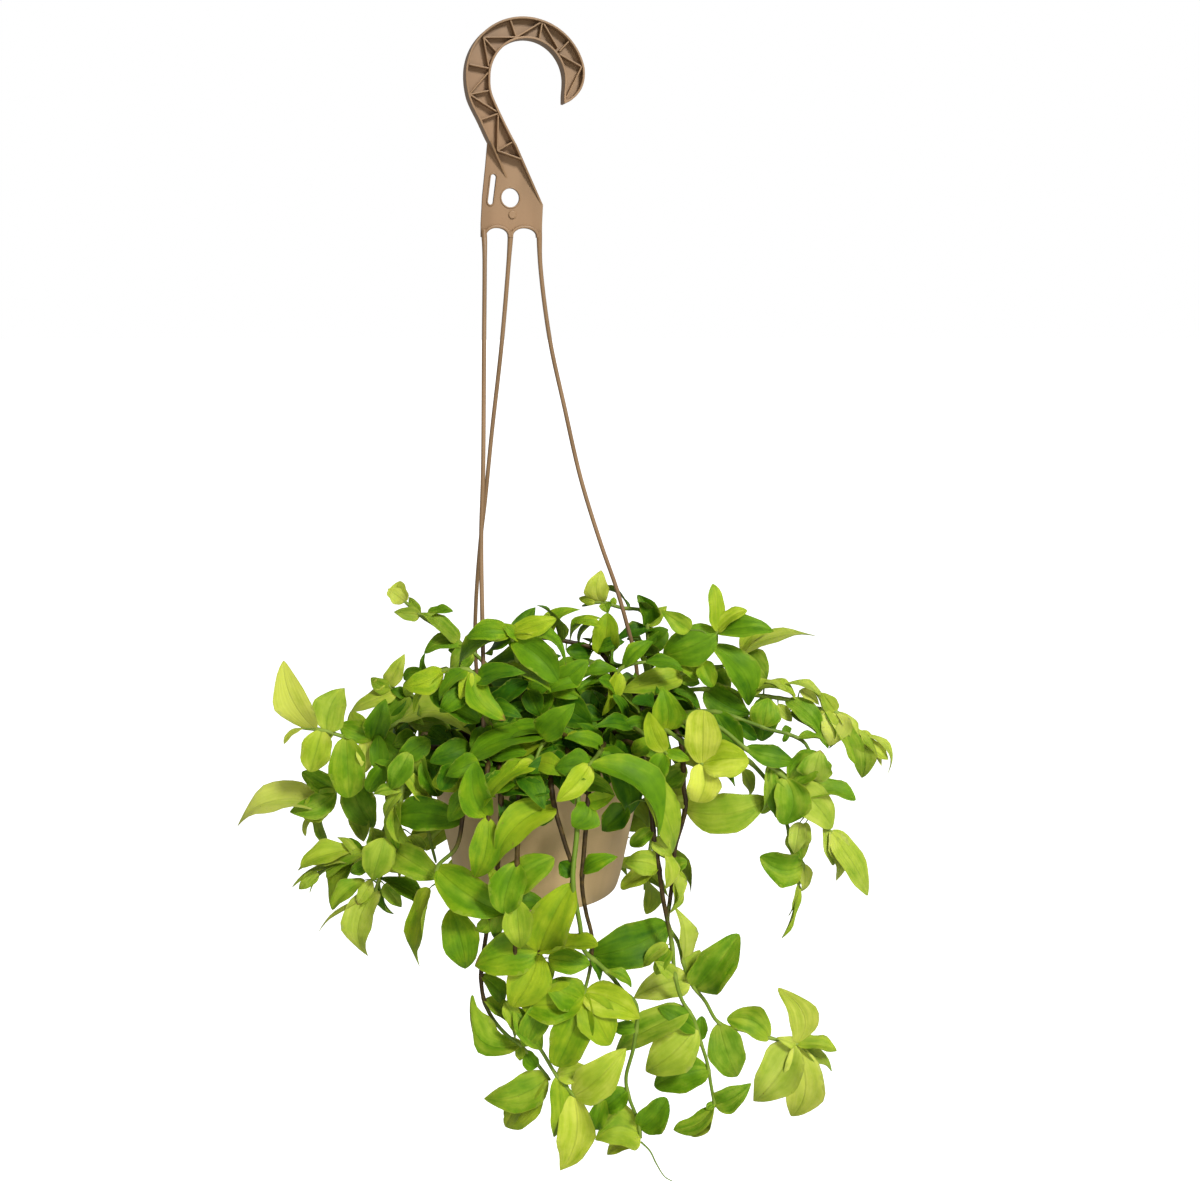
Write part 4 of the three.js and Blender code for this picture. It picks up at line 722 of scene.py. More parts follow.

# More leaves that the picture shows, each on the nearest stem: [base u, base v, tip u, tip v, how far its
# tip comes forward in mm, seen width, bow, tone]. As in SHOOTS, the tone holds painted light and shade.
MORE_LEAVES = [
    # left
    [375, 737, 340, 726, 0, 22, 0, 0.45], [335, 790, 302, 772, 4, 22, 0, 0.35],
    [372, 742, 385, 700, 0, 26, 0, 0.15], [380, 770, 378, 735, -4, 20, 0, 0.2],
    [384, 838, 372, 880, 8, 34, 0, 0.5], [352, 850, 300, 866, 6, 20, 0, 0.7],
    [365, 880, 331, 909, 6, 16, 0, 0.55], [372, 880, 357, 905, 6, 14, 0, 0.6],
    [430, 888, 410, 968, 4, 18, 6, 0.5], [400, 800, 395, 850, 0, 14, 0, 0.45],
    [412, 835, 425, 850, 0, 12, 0, 0.4], [402, 790, 384, 822, 2, 12, 0, 0.5],
    [394, 806, 412, 846, 4, 13, 0, 0.55], [356, 806, 364, 843, 2, 20, 0, 0.4],
    [390, 850, 372, 866, 4, 12, 0, 0.6], [362, 760, 336, 786, 6, 20, 0, 0.3],
    [430, 740, 398, 760, 6, 24, 0, 0.2], [424, 760, 440, 796, 4, 26, 0, 0.22],
    [410, 752, 390, 790, 6, 24, 0, 0.28], [470, 745, 430, 762, 10, 26, 0, 0.15],
    [440, 735, 472, 752, 8, 24, 0, 0.12], [450, 748, 420, 776, 8, 28, 0, 0.18],
    [430, 728, 452, 746, 8, 22, 0, 0.15], [415, 735, 392, 746, 6, 20, 0, 0.2],
    [462, 728, 436, 746, 8, 24, 0, 0.1], [404, 716, 468, 724, -2, 24, -6, 0.36],
    [456, 764, 440, 790, 8, 22, 0, 0.15], [400, 760, 418, 782, 6, 20, 0, 0.3],
    [386, 764, 368, 792, 2, 20, 0, 0.3], [384, 884, 402, 908, 2, 16, 0, 0.35],
    [372, 862, 350, 873, 0, 14, 0, 0.2], [318, 872, 298, 890, 2, 13, 0, 0.5],
    [396, 852, 438, 878, 22, 32, 0, 0.5],
    # crown, left and middle
    [484, 668, 545, 672, 8, 14, -5, 0.35], [505, 665, 552, 690, 10, 16, 0, 0.5],
    [495, 674, 528, 680, 6, 16, 0, 0.2], [508, 688, 512, 722, 6, 40, 0, 0.08],
    [430, 690, 480, 722, 6, 22, -8, 0.2], [545, 702, 497, 738, 12, 20, 0, 0.22],
    [548, 722, 522, 742, 10, 16, 0, 0.2], [465, 690, 440, 712, 8, 22, 0, 0.22],
    [452, 680, 476, 700, 6, 16, 0, 0.15], [520, 640, 500, 622, 2, 12, 0, 0.4],
    [470, 655, 448, 650, 2, 12, 0, 0.3], [440, 705, 418, 720, 8, 20, 0, 0.25],
    [500, 700, 478, 726, 8, 22, 0, 0.12], [528, 690, 540, 716, 8, 22, 0, 0.1],
    # crown, right
    [655, 630, 617, 640, 4, 12, 0, 0.15], [668, 632, 642, 656, 2, 18, 0, 0.2],
    [588, 662, 545, 680, 8, 26, 0, 0.25], [580, 683, 547, 692, 8, 14, 0, 0.3],
    [605, 683, 578, 690, 8, 10, 0, 0.3], [592, 690, 585, 728, 8, 26, 0, 0.08],
    [540, 735, 573, 705, 10, 30, 0, 0.22], [600, 625, 575, 622, 2, 10, 0, 0.45],
    [620, 700, 640, 722, 6, 22, 0, 0.1], [604, 704, 628, 706, 8, 18, 0, 0.2],
    [636, 690, 660, 704, 4, 18, 0, 0.15], [570, 712, 560, 736, 8, 24, 0, 0.06],
    [618, 735, 648, 752, 8, 22, 0, 0.12], [574, 742, 604, 764, 8, 18, 0, 0.18],
    [690, 630, 662, 611, 2, 20, 0, 0.4], [566, 650, 592, 652, -8, 18, 0, 0.12],
    [712, 668, 730, 690, 2, 20, 0, 0.3], [680, 676, 700, 684, 0, 14, 0, 0.35],
    # over the rim; the near-black leaves, of tone 0.03 and 0.04, are painted shade under the crown
    [565, 722, 592, 750, 10, 14, 0, 0.45], [648, 718, 616, 730, 8, 18, 0, 0.25],
    [627, 806, 601, 832, 0, 26, 0, 0.03], [548, 782, 512, 800, 0, 22, 0, 0.03],
    [517, 862, 503, 914, 8, 36, -3, 0.42], [517, 900, 520, 950, 7, 30, 0, 0.5],
    [500, 800, 520, 832, 0, 20, 0, 0.04], [478, 760, 446, 776, 8, 24, 0, 0.2],
    [470, 790, 448, 822, 6, 24, 0, 0.22], [555, 800, 536, 826, 0, 20, 0, 0.04],
    [500, 912, 494, 940, 0, 14, 0, 0.3],
    # arm to the right
    [820, 712, 835, 745, 4, 26, 0, 0.7], [856, 734, 886, 764, 2, 10, -5, 0.8],
    [837, 713, 857, 741, 2, 12, 0, 0.7], [790, 712, 829, 748, 4, 16, 0, 0.35],
    [812, 780, 820, 751, 2, 34, 0, 0.4], [778, 704, 792, 722, 2, 12, 0, 0.6],
    [765, 700, 762, 742, 2, 30, 0, 0.12], [712, 690, 750, 722, 4, 30, 0, 0.16],
    [735, 722, 757, 740, 4, 14, 0, 0.08], [680, 660, 700, 678, 2, 14, 0, 0.5],
    [765, 682, 797, 697, 2, 8, 0, 0.6], [838, 722, 858, 765, 4, 20, 0, 0.5],
    [700, 712, 690, 742, 6, 26, 0, 0.12], [800, 690, 820, 704, 4, 10, 0, 0.8],
    [722, 740, 708, 768, 4, 24, 0, 0.14], [672, 700, 700, 716, 6, 20, 0, 0.14],
    # falling to the right
    [680, 770, 662, 786, 0, 20, 0, 0.32], [772, 795, 761, 814, 0, 14, 0, 0.45],
    [772, 778, 783, 820, 4, 22, 0, 0.22], [800, 822, 794, 855, 2, 18, 0, 0.5],
    [806, 822, 803, 850, 0, 14, 0, 0.55], [676, 868, 672, 912, 0, 10, 0, 0.6],
    [664, 850, 668, 890, 0, 12, 0, 0.65], [650, 830, 630, 846, 0, 16, 0, 0.45],
    [742, 770, 752, 798, -6, 12, 0, 0.5], [668, 945, 641, 966, 0, 14, 0, 0.45],
    [670, 950, 655, 975, 0, 14, 0, 0.45],
    # drop
    [545, 1000, 524, 1048, 2, 26, 0, 0.4], [505, 1002, 518, 1035, 0, 16, 0, 0.45],
    [583, 1000, 545, 985, 6, 34, 0, 0.42], [545, 1085, 503, 1127, -2, 26, 6, 0.62],
    [640, 1141, 606, 1153, 0, 13, 0, 0.75], [548, 958, 590, 964, 4, 26, 0, 0.42],
    [604, 1098, 594, 1130, 0, 18, 0, 0.4],
]


# ---------------- where the shoots grow

FOOT = (1, 6)  # heights over the soil where a shoot stands upright
LAST_NODE = 0.12  # how far before a line's end its last leaf stands, counted in the given places
LEAF_PROPORTION = 0.46  # a leaf's usual width for its length
MOST_TURNED = 2.2  # the most that a leaf's width may pass what is seen of it

# The frame holds each line moved by one of these, and each leaf swung and shrunk by one of these.
SHIFTS = [0, 3, -3, 6, -6, 9, -9, 12, -12, 16, -16, 20, -20, 25, -25]
SWINGS = [0, 6, -6, 12, -12, 18, -18, 24, -24]
SIZES = [1, 0.75, 0.55]
FRAME_STEM_RADIUS = 1.35
STATION_GAP = 20  # how far apart a line is compared with the frame's stem
STEM_MATCH, LEAF_MATCH = 0.08, 0.12  # how near the frame's corners have to be


class SmoothLine:
    """A smooth line through given places."""

    STATIONS = 201

    def __init__(self, places):
        self.points = places
        self.shares = np.linspace(0, 1, self.STATIONS)
        line = np.array([self.at(share) for share in self.shares])
        self.reach = np.concatenate([[0], np.cumsum(np.linalg.norm(np.diff(line, axis=0), axis=1))])

    @property
    def length(self):
        """How long the line is."""
        return self.reach[-1]

    def at(self, share):
        """The place a share of the way along, counted in the given places."""
        p, last = self.points, len(self.points) - 1
        whole = min(int(math.floor(last * share)), last - 1)
        weight = last * share - whole
        p1, p2 = p[whole], p[whole + 1]
        p0 = p[whole - 1] if whole > 0 else 2 * p1 - p2
        p3 = p[whole + 2] if whole + 2 <= last else 2 * p2 - p1
        d0, d1, d2 = (math.sqrt(np.linalg.norm(b - a)) for a, b in ((p0, p1), (p1, p2), (p2, p3)))
        t1 = ((p1 - p0) / d0 - (p2 - p0) / (d0 + d1) + (p2 - p1) / d1) * d1
        t2 = ((p2 - p1) / d1 - (p3 - p1) / (d1 + d2) + (p3 - p2) / d2) * d1
        c2 = -3 * p1 + 3 * p2 - 2 * t1 - t2
        c3 = 2 * p1 - 2 * p2 + t1 + t2
        return p1 + t1 * weight + c2 * weight**2 + c3 * weight**3

    def share_at(self, distance):
        """The share of the way that this many millimetres are."""
        return float(np.interp(distance, self.reach, self.shares))

    def place_at(self, distance):
        """The place this many millimetres along."""
        return self.at(self.share_at(distance))

    def along_at(self, distance):
        """The line's direction there."""
        share = self.share_at(distance)
        return unit(self.at(min(share + 1e-4, 1)) - self.at(max(share - 1e-4, 0)))

    def distance_of(self, share):
        """How many millimetres along a share of the way is."""
        return float(np.interp(share, self.shares, self.reach))


class StemLine(SmoothLine):
    """A smooth line that leaves the soil upright."""

    def __init__(self, x, y, places):
        foot = [point(POT_X + x, y, SOIL_TOP + height) for height in FOOT]
        super().__init__([*foot, *places])


def node_places(node):
    """A frame node's corners in millimetres, for finding the nearest one."""
    corners = {tuple(round(c / MM, 3) for c in v.co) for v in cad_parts[node].data.vertices}
    tree = KDTree(len(corners))
    for i, corner in enumerate(sorted(corners)):
        tree.insert(corner, i)
    tree.balance()
    return tree


def settled_line(corners, line_at):
    """The line, moved out or back, whose stations the frame's stem goes through."""

    def fit(line):
        count = math.ceil(line.length / STATION_GAP)
        stations = [line.place_at(line.length * i / count) for i in range(1, count)]
        return np.mean([abs(corners.find(s)[2] - FRAME_STEM_RADIUS) < STEM_MATCH for s in stations])

    return max((line_at(shift) for shift in SHIFTS), key=fit)


def settled_leaf(corners, leaf_at):
    """This leaf at its full size, swung as the frame's leaf is."""
    for size in SIZES:
        for swing in SWINGS:
            leaf = leaf_at(swing, size)
            if corners.find(leaf["base"] + leaf["chord"])[2] < LEAF_MATCH:
                return leaf_at(swing, 1)
    return leaf_at(0, 1)


def traced_line(row, shift):
    """The line of a traced shoot, moved out by a shift."""
    _, foot, path, _ = row
    return StemLine(*foot, [seen(u, v, near + shift) for u, v, near in path])


def traced_leaf(line, row, swing, size):
    """A leaf of a traced shoot."""
    place, *tip = row
    last = len(line.points) - 1
    share = min(place + len(FOOT), last - LAST_NODE) / last
    return leaf_towards(line.distance_of(share), line.at(share), tip, swing, size)


def leaf_towards(at, base, tip, swing=0, size=1):
    """A leaf whose tip the picture shows at [u, v], with its width, bow, tone and how pointed it is."""
    u, v, forward, width, bow, tone, *pointed = tip
    chord = (seen(u, v, -base[1] + forward + swing) - base) * size
    sight = base + chord / 2 - VIEW_PLACE
    scale = np.linalg.norm(sight) / VIEW_FOCAL
    side = unit(np.cross(unit(sight), chord))
    facing = unit(np.cross(side, chord))
    seen_width = width * scale * size
    true_width = min(max(LEAF_PROPORTION * np.linalg.norm(chord), seen_width), MOST_TURNED * seen_width)
    roll = math.acos(seen_width / true_width)
    out = unit(from_axis(base + chord / 2)) * 0.5 + UP
    face = max((turned_about(facing, unit(chord), r) for r in (roll, -roll)), key=lambda f: f @ out)
    return new_leaf(at, base, chord, face, true_width, tone, side * (-bow * scale * size), pointed)


def new_leaf(at, base, chord, face, width, tone, bow=(0, 0, 0), pointed=()):
    """A leaf: where on its stem it stands, from base to tip, its upper side, width, tone, bow and point."""
    return {
        "at": at, "base": base, "chord": chord, "face": face, "width": width, "tone": tone,
        "bow": point(*bow), "pointed": pointed,
    }


def from_axis(place):
    """How far a place is from the pot's axis, across and away."""
    return (place - point(POT_X, 0, 0)) * (1, 1, 0)


def face_over(chord, rise):
    """The upper face's direction of a leaf that lies along a chord."""
    return unit(rise - unit(chord) * (rise @ unit(chord)))


TWIG_RADIUS = 0.7
TWIG_GAP = 4  # picture points between a leaf and its stem, from where a twig joins them
TWIG_FORWARD, TWIG_RISE = 0.1, 0.12  # how far a twig comes forward and arches, in mm for each such point
TWIG_STEP = 2
PICTURE_FROM, PICTURE_STEP = 16, 2  # where on a stem its spots begin, and how far apart they are
ABOUT_AS_NEAR = 6  # picture points


class StemPicture:
    """Where the picture shows each stem."""

    def __init__(self, lines):
        self.spots = [
            (k, distance, line.place_at(distance))
            for k, line in enumerate(lines)
            for distance in np.arange(PICTURE_FROM, line.length - 1, PICTURE_STEP)
        ]
        self.pictures = np.array([in_picture(place) for _, _, place in self.spots])

    def nearest(self, u, v):
        """The stem nearest to [u, v]; of those about as near, the one in front."""
        gaps = np.linalg.norm(self.pictures - point(u, v), axis=1)
        close = np.flatnonzero(gaps < gaps.min() + ABOUT_AS_NEAR)
        best = min(close, key=lambda i: self.spots[i][2][1] + 2 * gaps[i])
        return (*self.spots[best], gaps[best])


def further_leaves(lines):
    """For each line, the leaves of MORE_LEAVES that it carries and the twigs to them."""
    picture = StemPicture(lines)
    leaves, twigs = [[] for _ in lines], [[] for _ in lines]
    for u, v, *tip in MORE_LEAVES:
        k, at, stem, gap = picture.nearest(u, v)
        base = stem
        if gap > TWIG_GAP:
            base = seen(u, v, -stem[1] + TWIG_FORWARD * gap)
            middle = blend(stem, base, 0.5) + UP * TWIG_RISE * gap
            twigs[k].append(smoothed([stem, middle, base], TWIG_STEP))
        leaves[k].append(leaf_towards(at, base, tip))
    return leaves, twigs


# Shoots with no small leaves where they lie in the crown.
BARE_IN_THE_CROWN = {"crown_front", "top_left_spray"}

# A thin root that hangs from the tip of front_pale.
ROOT = [[641, 1142, 102], [650, 1151, 103], [656, 1163, 104], [665, 1177, 104], [672, 1181, 104]]

# Shoots over the back of the rim: how many places they have, of which the frame may leave some out, the arc
# they share in degrees, where their first leaf stands, their leaves' spacing and length, and the number that
# their own count starts from.
BACK_COUNT, BACK_FIRST, BACK_LAST = 20, 24, 158
BACK_START, BACK_SPACING, BACK_SHORTEST, BACK_LONGEST = 36, 25, 36, 50
BACK_NUMBER = 50

# Small leaves of the crown: where along a stem they start, how far from the pot's axis and under the rim they
# end, and the least gap to a leaf that is there already.
CROWN_START, CROWN_REACH, CROWN_DROP, CROWN_GAP = 12, 98, 16, 3
CROWN_SHORTEST, CROWN_LONGEST = 20, 38


def back_line(k, shift):
    """The line of shoot k over the back of the rim."""
    angle = BACK_FIRST + (BACK_LAST - BACK_FIRST) * (k - 0.5) / BACK_COUNT + 0.6 * shift
    layer = k % 3
    drop = 46 + 30 * layer + 34 * spread(k, 1)
    reach = 91 + 9 * (2 - layer) + 8 * spread(k, 2) + shift
    drift = 14 * (spread(k, 3) - 0.5)
    start = round_pot(30 + 14 * layer, angle, 0)
    return StemLine(start[0] - POT_X, start[1], [
        round_pot(64, angle + 0.2 * drift, 4 + 5 * spread(k, 4)),
        round_pot(80, angle + 0.4 * drift, 7 + 8 * spread(k, 4)),
        round_pot(reach, angle + 0.7 * drift, -4 - 6 * layer),
        round_pot(reach + 6, angle + drift, -0.45 * drop),
        round_pot(reach + 1, angle + 1.6 * drift, -0.75 * drop),
        round_pot(reach - 5, angle + drift, -drop),
    ])


def back_leaf(line, k, j, swing, size):
    """Leaf j of shoot k at the back."""
    total = line.length
    at = min(BACK_START + BACK_SPACING * (j + 0.5 * spread(k, 5)), total - 2.5)
    base, along = line.place_at(at), line.along_at(at)
    out = unit(from_axis(base))
    rise = unit(blend(out, UP, 0.8 if abs(along[2]) < 0.6 else 0.15))
    side = unit(np.cross(along, rise)) * (1 if j % 2 else -1)
    reach = blend(BACK_SHORTEST, BACK_LONGEST, spread(k + j, 6)) * size
    lean = 0.75 if at < total - 9 else 0.2
    chord = unit(along * 0.55 + side * lean + rise * (0.3 + swing / 40)) * reach
    tone = 0.2 + 0.5 * spread(k * 3 + j, 7) * (0.4 + 0.6 * at / total)
    return new_leaf(at, base, chord, face_over(chord, rise), LEAF_PROPORTION * reach, tone)


def crown_leaves(line, others, number):
    """Small leaves on the stretch of a stem that lies in the crown, lapping like shingles over the pot."""
    leaves = []
    at, j = CROWN_START + 6 * spread(number, 11), 0
    while at < line.length - CROWN_START:
        base, along = line.place_at(at), line.along_at(at)
        beside = from_axis(base)
        if np.linalg.norm(beside) > CROWN_REACH or (base[2] < RIM_Z - CROWN_DROP and at > 30):
            break
        if all(abs(at - leaf["at"]) > CROWN_GAP for leaf in others):
            luck = [spread(number * 7 + j, salt) for salt in range(12, 18)]
            out = unit(beside + point(NUDGE, -NUDGE, 0))
            rise = unit(out * (0.5 + 0.5 * luck[0]) + UP * (0.8 - 0.3 * luck[1]))
            growth = unit(along - rise * (along @ rise) + NUDGE * out)
            turn = (1 if j % 2 else -1) * math.radians(25 + 60 * luck[2])
            chord = turned_about(growth, rise, turn) * blend(CROWN_SHORTEST, CROWN_LONGEST, luck[3])
            chord = chord + rise * (2 + 6 * luck[4])
            width = (0.42 + 0.1 * luck[5]) * np.linalg.norm(chord)
            # Crown leaves get a tone of 0.3 at most: painted shade of the crown.
            leaves.append(new_leaf(at, base, chord, face_over(chord, rise), width, 0.3 * luck[5]))
        at, j = at + 7 + 6 * spread(number + j, 18), j + 1
    return leaves


# ---------------- leaves and stems as meshes

BLADE_ACROSS, BLADE_ALONG = 8, 14
STEM_SIDES, ROD_SIDES = 9, 14


def leaf_outline(base, tip):
    """A leaf's outline: how blunt its base and its tip are, and what makes its greatest half width 1."""
    widest = base / (base + tip)
    return base, tip, 1 / (widest**base * (1 - widest) ** tip)


def leaf_template():
    """A flat leaf. `blade` holds where a point is across and along the blade, and on which face."""
    blade, rim, rows = [], [], []

    def put(x, y, skin):
        blade.append((x, y, skin))
        rim.append(skin == 0)
        return len(blade) - 1

    start, end = put(0, 0, 0), put(0, 1, 0)
    for j in range(1, BLADE_ALONG):
        y = 0.5 - 0.5 * math.cos(math.pi * j / BLADE_ALONG)
        xs = [-1 + 2 * i / BLADE_ACROSS for i in range(BLADE_ACROSS + 1)]
        left, right = put(-1, y, 0), put(1, y, 0)
        rows.append([[left, *(put(x, y, skin) for x in xs[1:-1]), right] for skin in (1, -1)])
    faces = []
    for skin in (0, 1):
        for low, high in zip(rows, rows[1:]):
            a, b = low[skin], high[skin]
            strip = [(a[i], a[i + 1], b[i + 1], b[i]) for i in range(BLADE_ACROSS)]
            faces += strip if skin == 0 else [face[::-1] for face in strip]
        first, last = rows[0][skin], rows[-1][skin]
        caps = [(start, first[i + 1], first[i]) for i in range(BLADE_ACROSS)]
        caps += [(last[i], last[i + 1], end) for i in range(BLADE_ACROSS)]
        faces += caps if skin == 0 else [face[::-1] for face in caps]
    made = mesh_object("leaf_template", np.array(blade) / MM, faces)
    set_values(made.data, blade=blade)
    sharp = made.data.attributes.new("sharp_edge", "BOOLEAN", "EDGE")
    sharp.data.foreach_set("value", [rim[e.vertices[0]] and rim[e.vertices[1]] for e in made.data.edges])
    bpy.context.scene.collection.objects.unlink(made)
    return made


def rod_along(bench, lines, sides):
    """A round rod along lines; `thick` holds its radius."""
    curve = bench.add("GeometryNodeMeshToCurve", links={"Mesh": lines})
    ring = bench.add("GeometryNodeCurvePrimitiveCircle", links={"Resolution": sides, "Radius": 1.0})
    return bench.add("GeometryNodeCurveToMesh", links={
        "Curve": curve, "Profile Curve": ring, "Scale": bench.value("thick"), "Fill Caps": True,
    })


def shoot_tree():
    """Grows a shoot: a leaf on each point that has one, and the stem along the edges."""
    bench, given = geometry_tree("Leafy shoot", {
        "Leaf": ("Object", None), "Leaf Finish": ("Material", None), "Stem Finish": ("Material", None),
        "Stem Sides": ("Int", STEM_SIDES), "Leaf Thickness": ("Float", LEAF_THICKNESS * MM),
    })
    leaf = bench.add("GeometryNodeObjectInfo", links={"Object": given.other("Leaf")}).other("Geometry")
    at_leaf = bench.value("leafy")
    copies = bench.add("GeometryNodeInstanceOnPoints", links={
        "Points": given, "Selection": at_leaf, "Instance": leaf,
    })
    real = bench.add("GeometryNodeRealizeInstances", links={0: copies})
    side, y, skin = bench.parts(bench.vector("blade"))
    blunt_base, blunt_tip, gain = bench.parts(bench.vector("outline"))
    wobble = 1 + bench.shaped("SINE", y * 13 + side * 2 + bench.value("phase") * 3) * 0.055
    wide = y**blunt_base * bench.shaped("MAXIMUM", 1 - y, 0) ** blunt_tip * gain * wobble
    x = side * wide
    swell = skin * bench.shaped("SQRT", 1 - side * side) * bench.shaped("MINIMUM", wide * 3, 1)
    across, chord, face = bench.vector("across"), bench.vector("chord"), bench.vector("face")
    half = bench.size_of(across)
    reach = bench.size_of(chord)
    turn = (y - 0.3) * bench.value("twist")
    bulge = y * (1 - y) * 4
    past = bench.shaped("MAXIMUM", y - 0.6, 0)
    ripple = bench.shaped("SINE", y * 9 + bench.value("phase") + side * 1.5) * bench.value("wave") * x * x
    lift = (
        bench.shaped("ABSOLUTE", x) ** 1.4 * bench.value("fold") * half
        + x * bench.shaped("SINE", turn) * half
        + ripple * half
        + bulge * bench.value("arch") * reach
        - past * past * bench.value("curl") * reach
        + swell * given.other("Leaf Thickness") * 0.5
    )
    place = (
        bench.vector("base")
        + across * (x * bench.shaped("COSINE", turn))
        + chord * y
        + bench.vector("bow") * bulge
        + face * lift
    )
    leaves = bench.add("GeometryNodeSetPosition", links={"Geometry": real, "Position": place})
    leaves = bench.add("GeometryNodeSetMaterial", links={0: leaves, "Material": given.other("Leaf Finish")})

    stem = rod_along(bench, given, given.other("Stem Sides"))
    stem = bench.add("GeometryNodeSetMaterial", links={0: stem, "Material": given.other("Stem Finish")})
    both = bench.add("GeometryNodeJoinGeometry", links={0: leaves})
    bench.tree.links.new(stem.socket, both.socket.node.inputs[0])
    real = bench.add("GeometryNodeRealizeInstances", links={0: both})
    bench.add("NodeGroupOutput", links={"Geometry": real})
    return bench.tree


# How far up a shoot its stem is brown, in mm, where it isn't the usual stretch.
WOODY_REACH = {
    "front_brown": 225, "front_second": 200, "front_mid": 210, "front_right_mid": 190, "front_pale": 60,
    "right_long": 205, "right_inner": 185, "top_brown": 150, "front_left": 110, "front_left_upright": 110,
}
USUAL_WOODY = 62
BACK_FADED = 0.2

# How far the leaves of a shoot have paled, where they have.
FADED = {
    "left_high": 0.4, "left_low": 0.6, "left_drop": 0.5, "left_drop_near": 0.45, "right_fall": 0.75,
    "right_fall_far": 0.6, "right_arm": 0.65, "right_arm_low": 0.3, "right_long": 0.55, "right_inner": 0.4,
    "top_left_spray": 0.5, "right_top_far": 0.6, "right_top": 0.2, "front_pale": 0.25, "front_second": 0.25,
    "crown_left_low": 0.4, "front_brown": 0.25, "top_right_bud": 0.3,
}

STEM_PIECE = 3.5  # about how long a stem's straight pieces are
ROOTED = 4  # how far a stem reaches down below its line
CLASP = 2.6  # the stretch of stem that a leaf clasps
AGEING = 80  # the stretch over which a stem turns from brown to green
# What the finishes read of a shoot; its other values are only for its tree.
FINISH_VALUES = {"tone", "luck", "brown", "faded", "age", "clasp"}


class ShootGrower:
    """Grows shoots with one leaf template, one tree and one pair of finishes."""

    def __init__(self, settings):
        self.old_stem, self.young_stem, self.joint = (
            getattr(settings, name) / MM for name in ("old_stem", "young_stem", "joint")
        )
        self.leaf_thickness, self.arch = settings.leaf_thickness, settings.arch
        self.template = leaf_template()
        self.tree = shoot_tree()
        self.leaf = finish("Leaf", leaf_finish, settings)
        self.stem = finish("Stem", stem_finish, settings)

    def stem_values(self, line, leaves, woody):
        """A stem's places and, for each, its radius, its age and how closely a leaf clasps it."""
        steps = max(8, math.ceil(line.length / STEM_PIECE))
        distances = np.linspace(0, line.length, steps + 1)
        places = [line.points[0] - UP * ROOTED, *(line.place_at(d) for d in distances)]
        distances = np.concatenate([[-ROOTED], distances])
        nodes = np.array([leaf["at"] for leaf in leaves])
        clasp = np.exp(-(((distances[:, None] - nodes - 1) / CLASP) ** 2)).max(axis=1)
        taper = np.clip(distances / line.length, 0, 1)
        thick = blend(self.old_stem, self.young_stem, taper) + self.joint * clasp * blend(1, 0.6, taper)
        thick[-1] *= 0.6
        age = np.clip((woody + AGEING / 2 - distances) / AGEING, 0, 1)
        return places, {"thick": thick, "age": age, "clasp": clasp}

    def leaf_values(self, leaves, faded, number):
        """What the tree and the finishes read of each leaf."""
        salts, own = range(20, 27), {}
        luck = np.array([[spread(number * 13 + i, salt) for i in range(len(leaves))] for salt in salts])
        for name in ("base", "chord", "face", "bow", "tone"):
            own[name] = np.array([leaf[name] for leaf in leaves])
        across = [unit(np.cross(leaf["chord"], leaf["face"])) * leaf["width"] / 2 for leaf in leaves]
        blunt = zip(leaves, blend(0.44, 0.64, luck[0]), blend(0.52, 0.95, luck[5]))
        return {
            "base": own["base"] * MM, "across": np.array(across) * MM, "chord": own["chord"] * MM,
            "face": own["face"], "bow": own["bow"] * MM, "tone": own["tone"],
            "brown": 0.25 * luck[0] ** 4, "luck": luck[1],
            "fold": blend(0.1, 0.7, luck[2] ** 1.3), "twist": blend(-0.8, 0.8, luck[3]),
            "arch": self.arch * blend(0.6, 1.4, luck[4]), "curl": blend(0.0, 0.9, luck[5]),
            "wave": blend(0.06, 0.32, luck[6]),
            "outline": np.array([
                leaf_outline(base, *(leaf["pointed"] or [tip])) for leaf, base, tip in blunt
            ]),
            "faded": faded * blend(0.4, 1.2, luck[1]), "phase": FULL_TURN * luck[0],
            "leafy": np.ones(len(leaves)),
        }

    def grow(self, node, line, leaves, twigs, woody, faded, number):
        """Makes one shoot with its leaves and twigs, in place of a node of the frame."""
        stem, stem_columns = self.stem_values(line, leaves, woody)
        leaf_columns = self.leaf_values(leaves, faded, number)
        edges = [(i, i + 1) for i in range(len(leaves), len(leaves) + len(stem) - 1)]
        for twig in twigs:
            first = len(leaves) + len(stem)
            edges += [(i, i + 1) for i in range(first, first + len(twig) - 1)]
            stem += twig
            for name, value in (("thick", TWIG_RADIUS), ("age", 0), ("clasp", 0)):
                ends = np.linspace(value, value / 2, len(twig))
                stem_columns[name] = np.concatenate([stem_columns[name], ends])
        columns = {
            name: np.concatenate([values, np.zeros((len(stem), *values.shape[1:]))])
            for name, values in leaf_columns.items()
        }
        columns["tone"][len(leaves):] = leaf_columns["tone"].mean()
        columns["luck"][len(leaves):] = spread(number, 30)
        for name, values in stem_columns.items():
            columns[name] = np.concatenate([np.zeros(len(leaves)), values])
        columns["thick"] *= MM
        made = mesh_object(
            node.replace("shoot_", "leafy_"), [leaf["base"] for leaf in leaves] + stem, edges=edges
        )
        set_values(made.data, **columns)
        grown(
            made, self.tree, Leaf=self.template, Leaf_Finish=self.leaf, Stem_Finish=self.stem,
            Leaf_Thickness=self.leaf_thickness,
        )
        made.data.shade_smooth()
        for name in columns:
            spare = made.data.attributes.get(name)
            if spare and name not in FINISH_VALUES:
                made.data.attributes.remove(spare)
        finish_piece(made, node)


# ---------------- the hanger's drawing

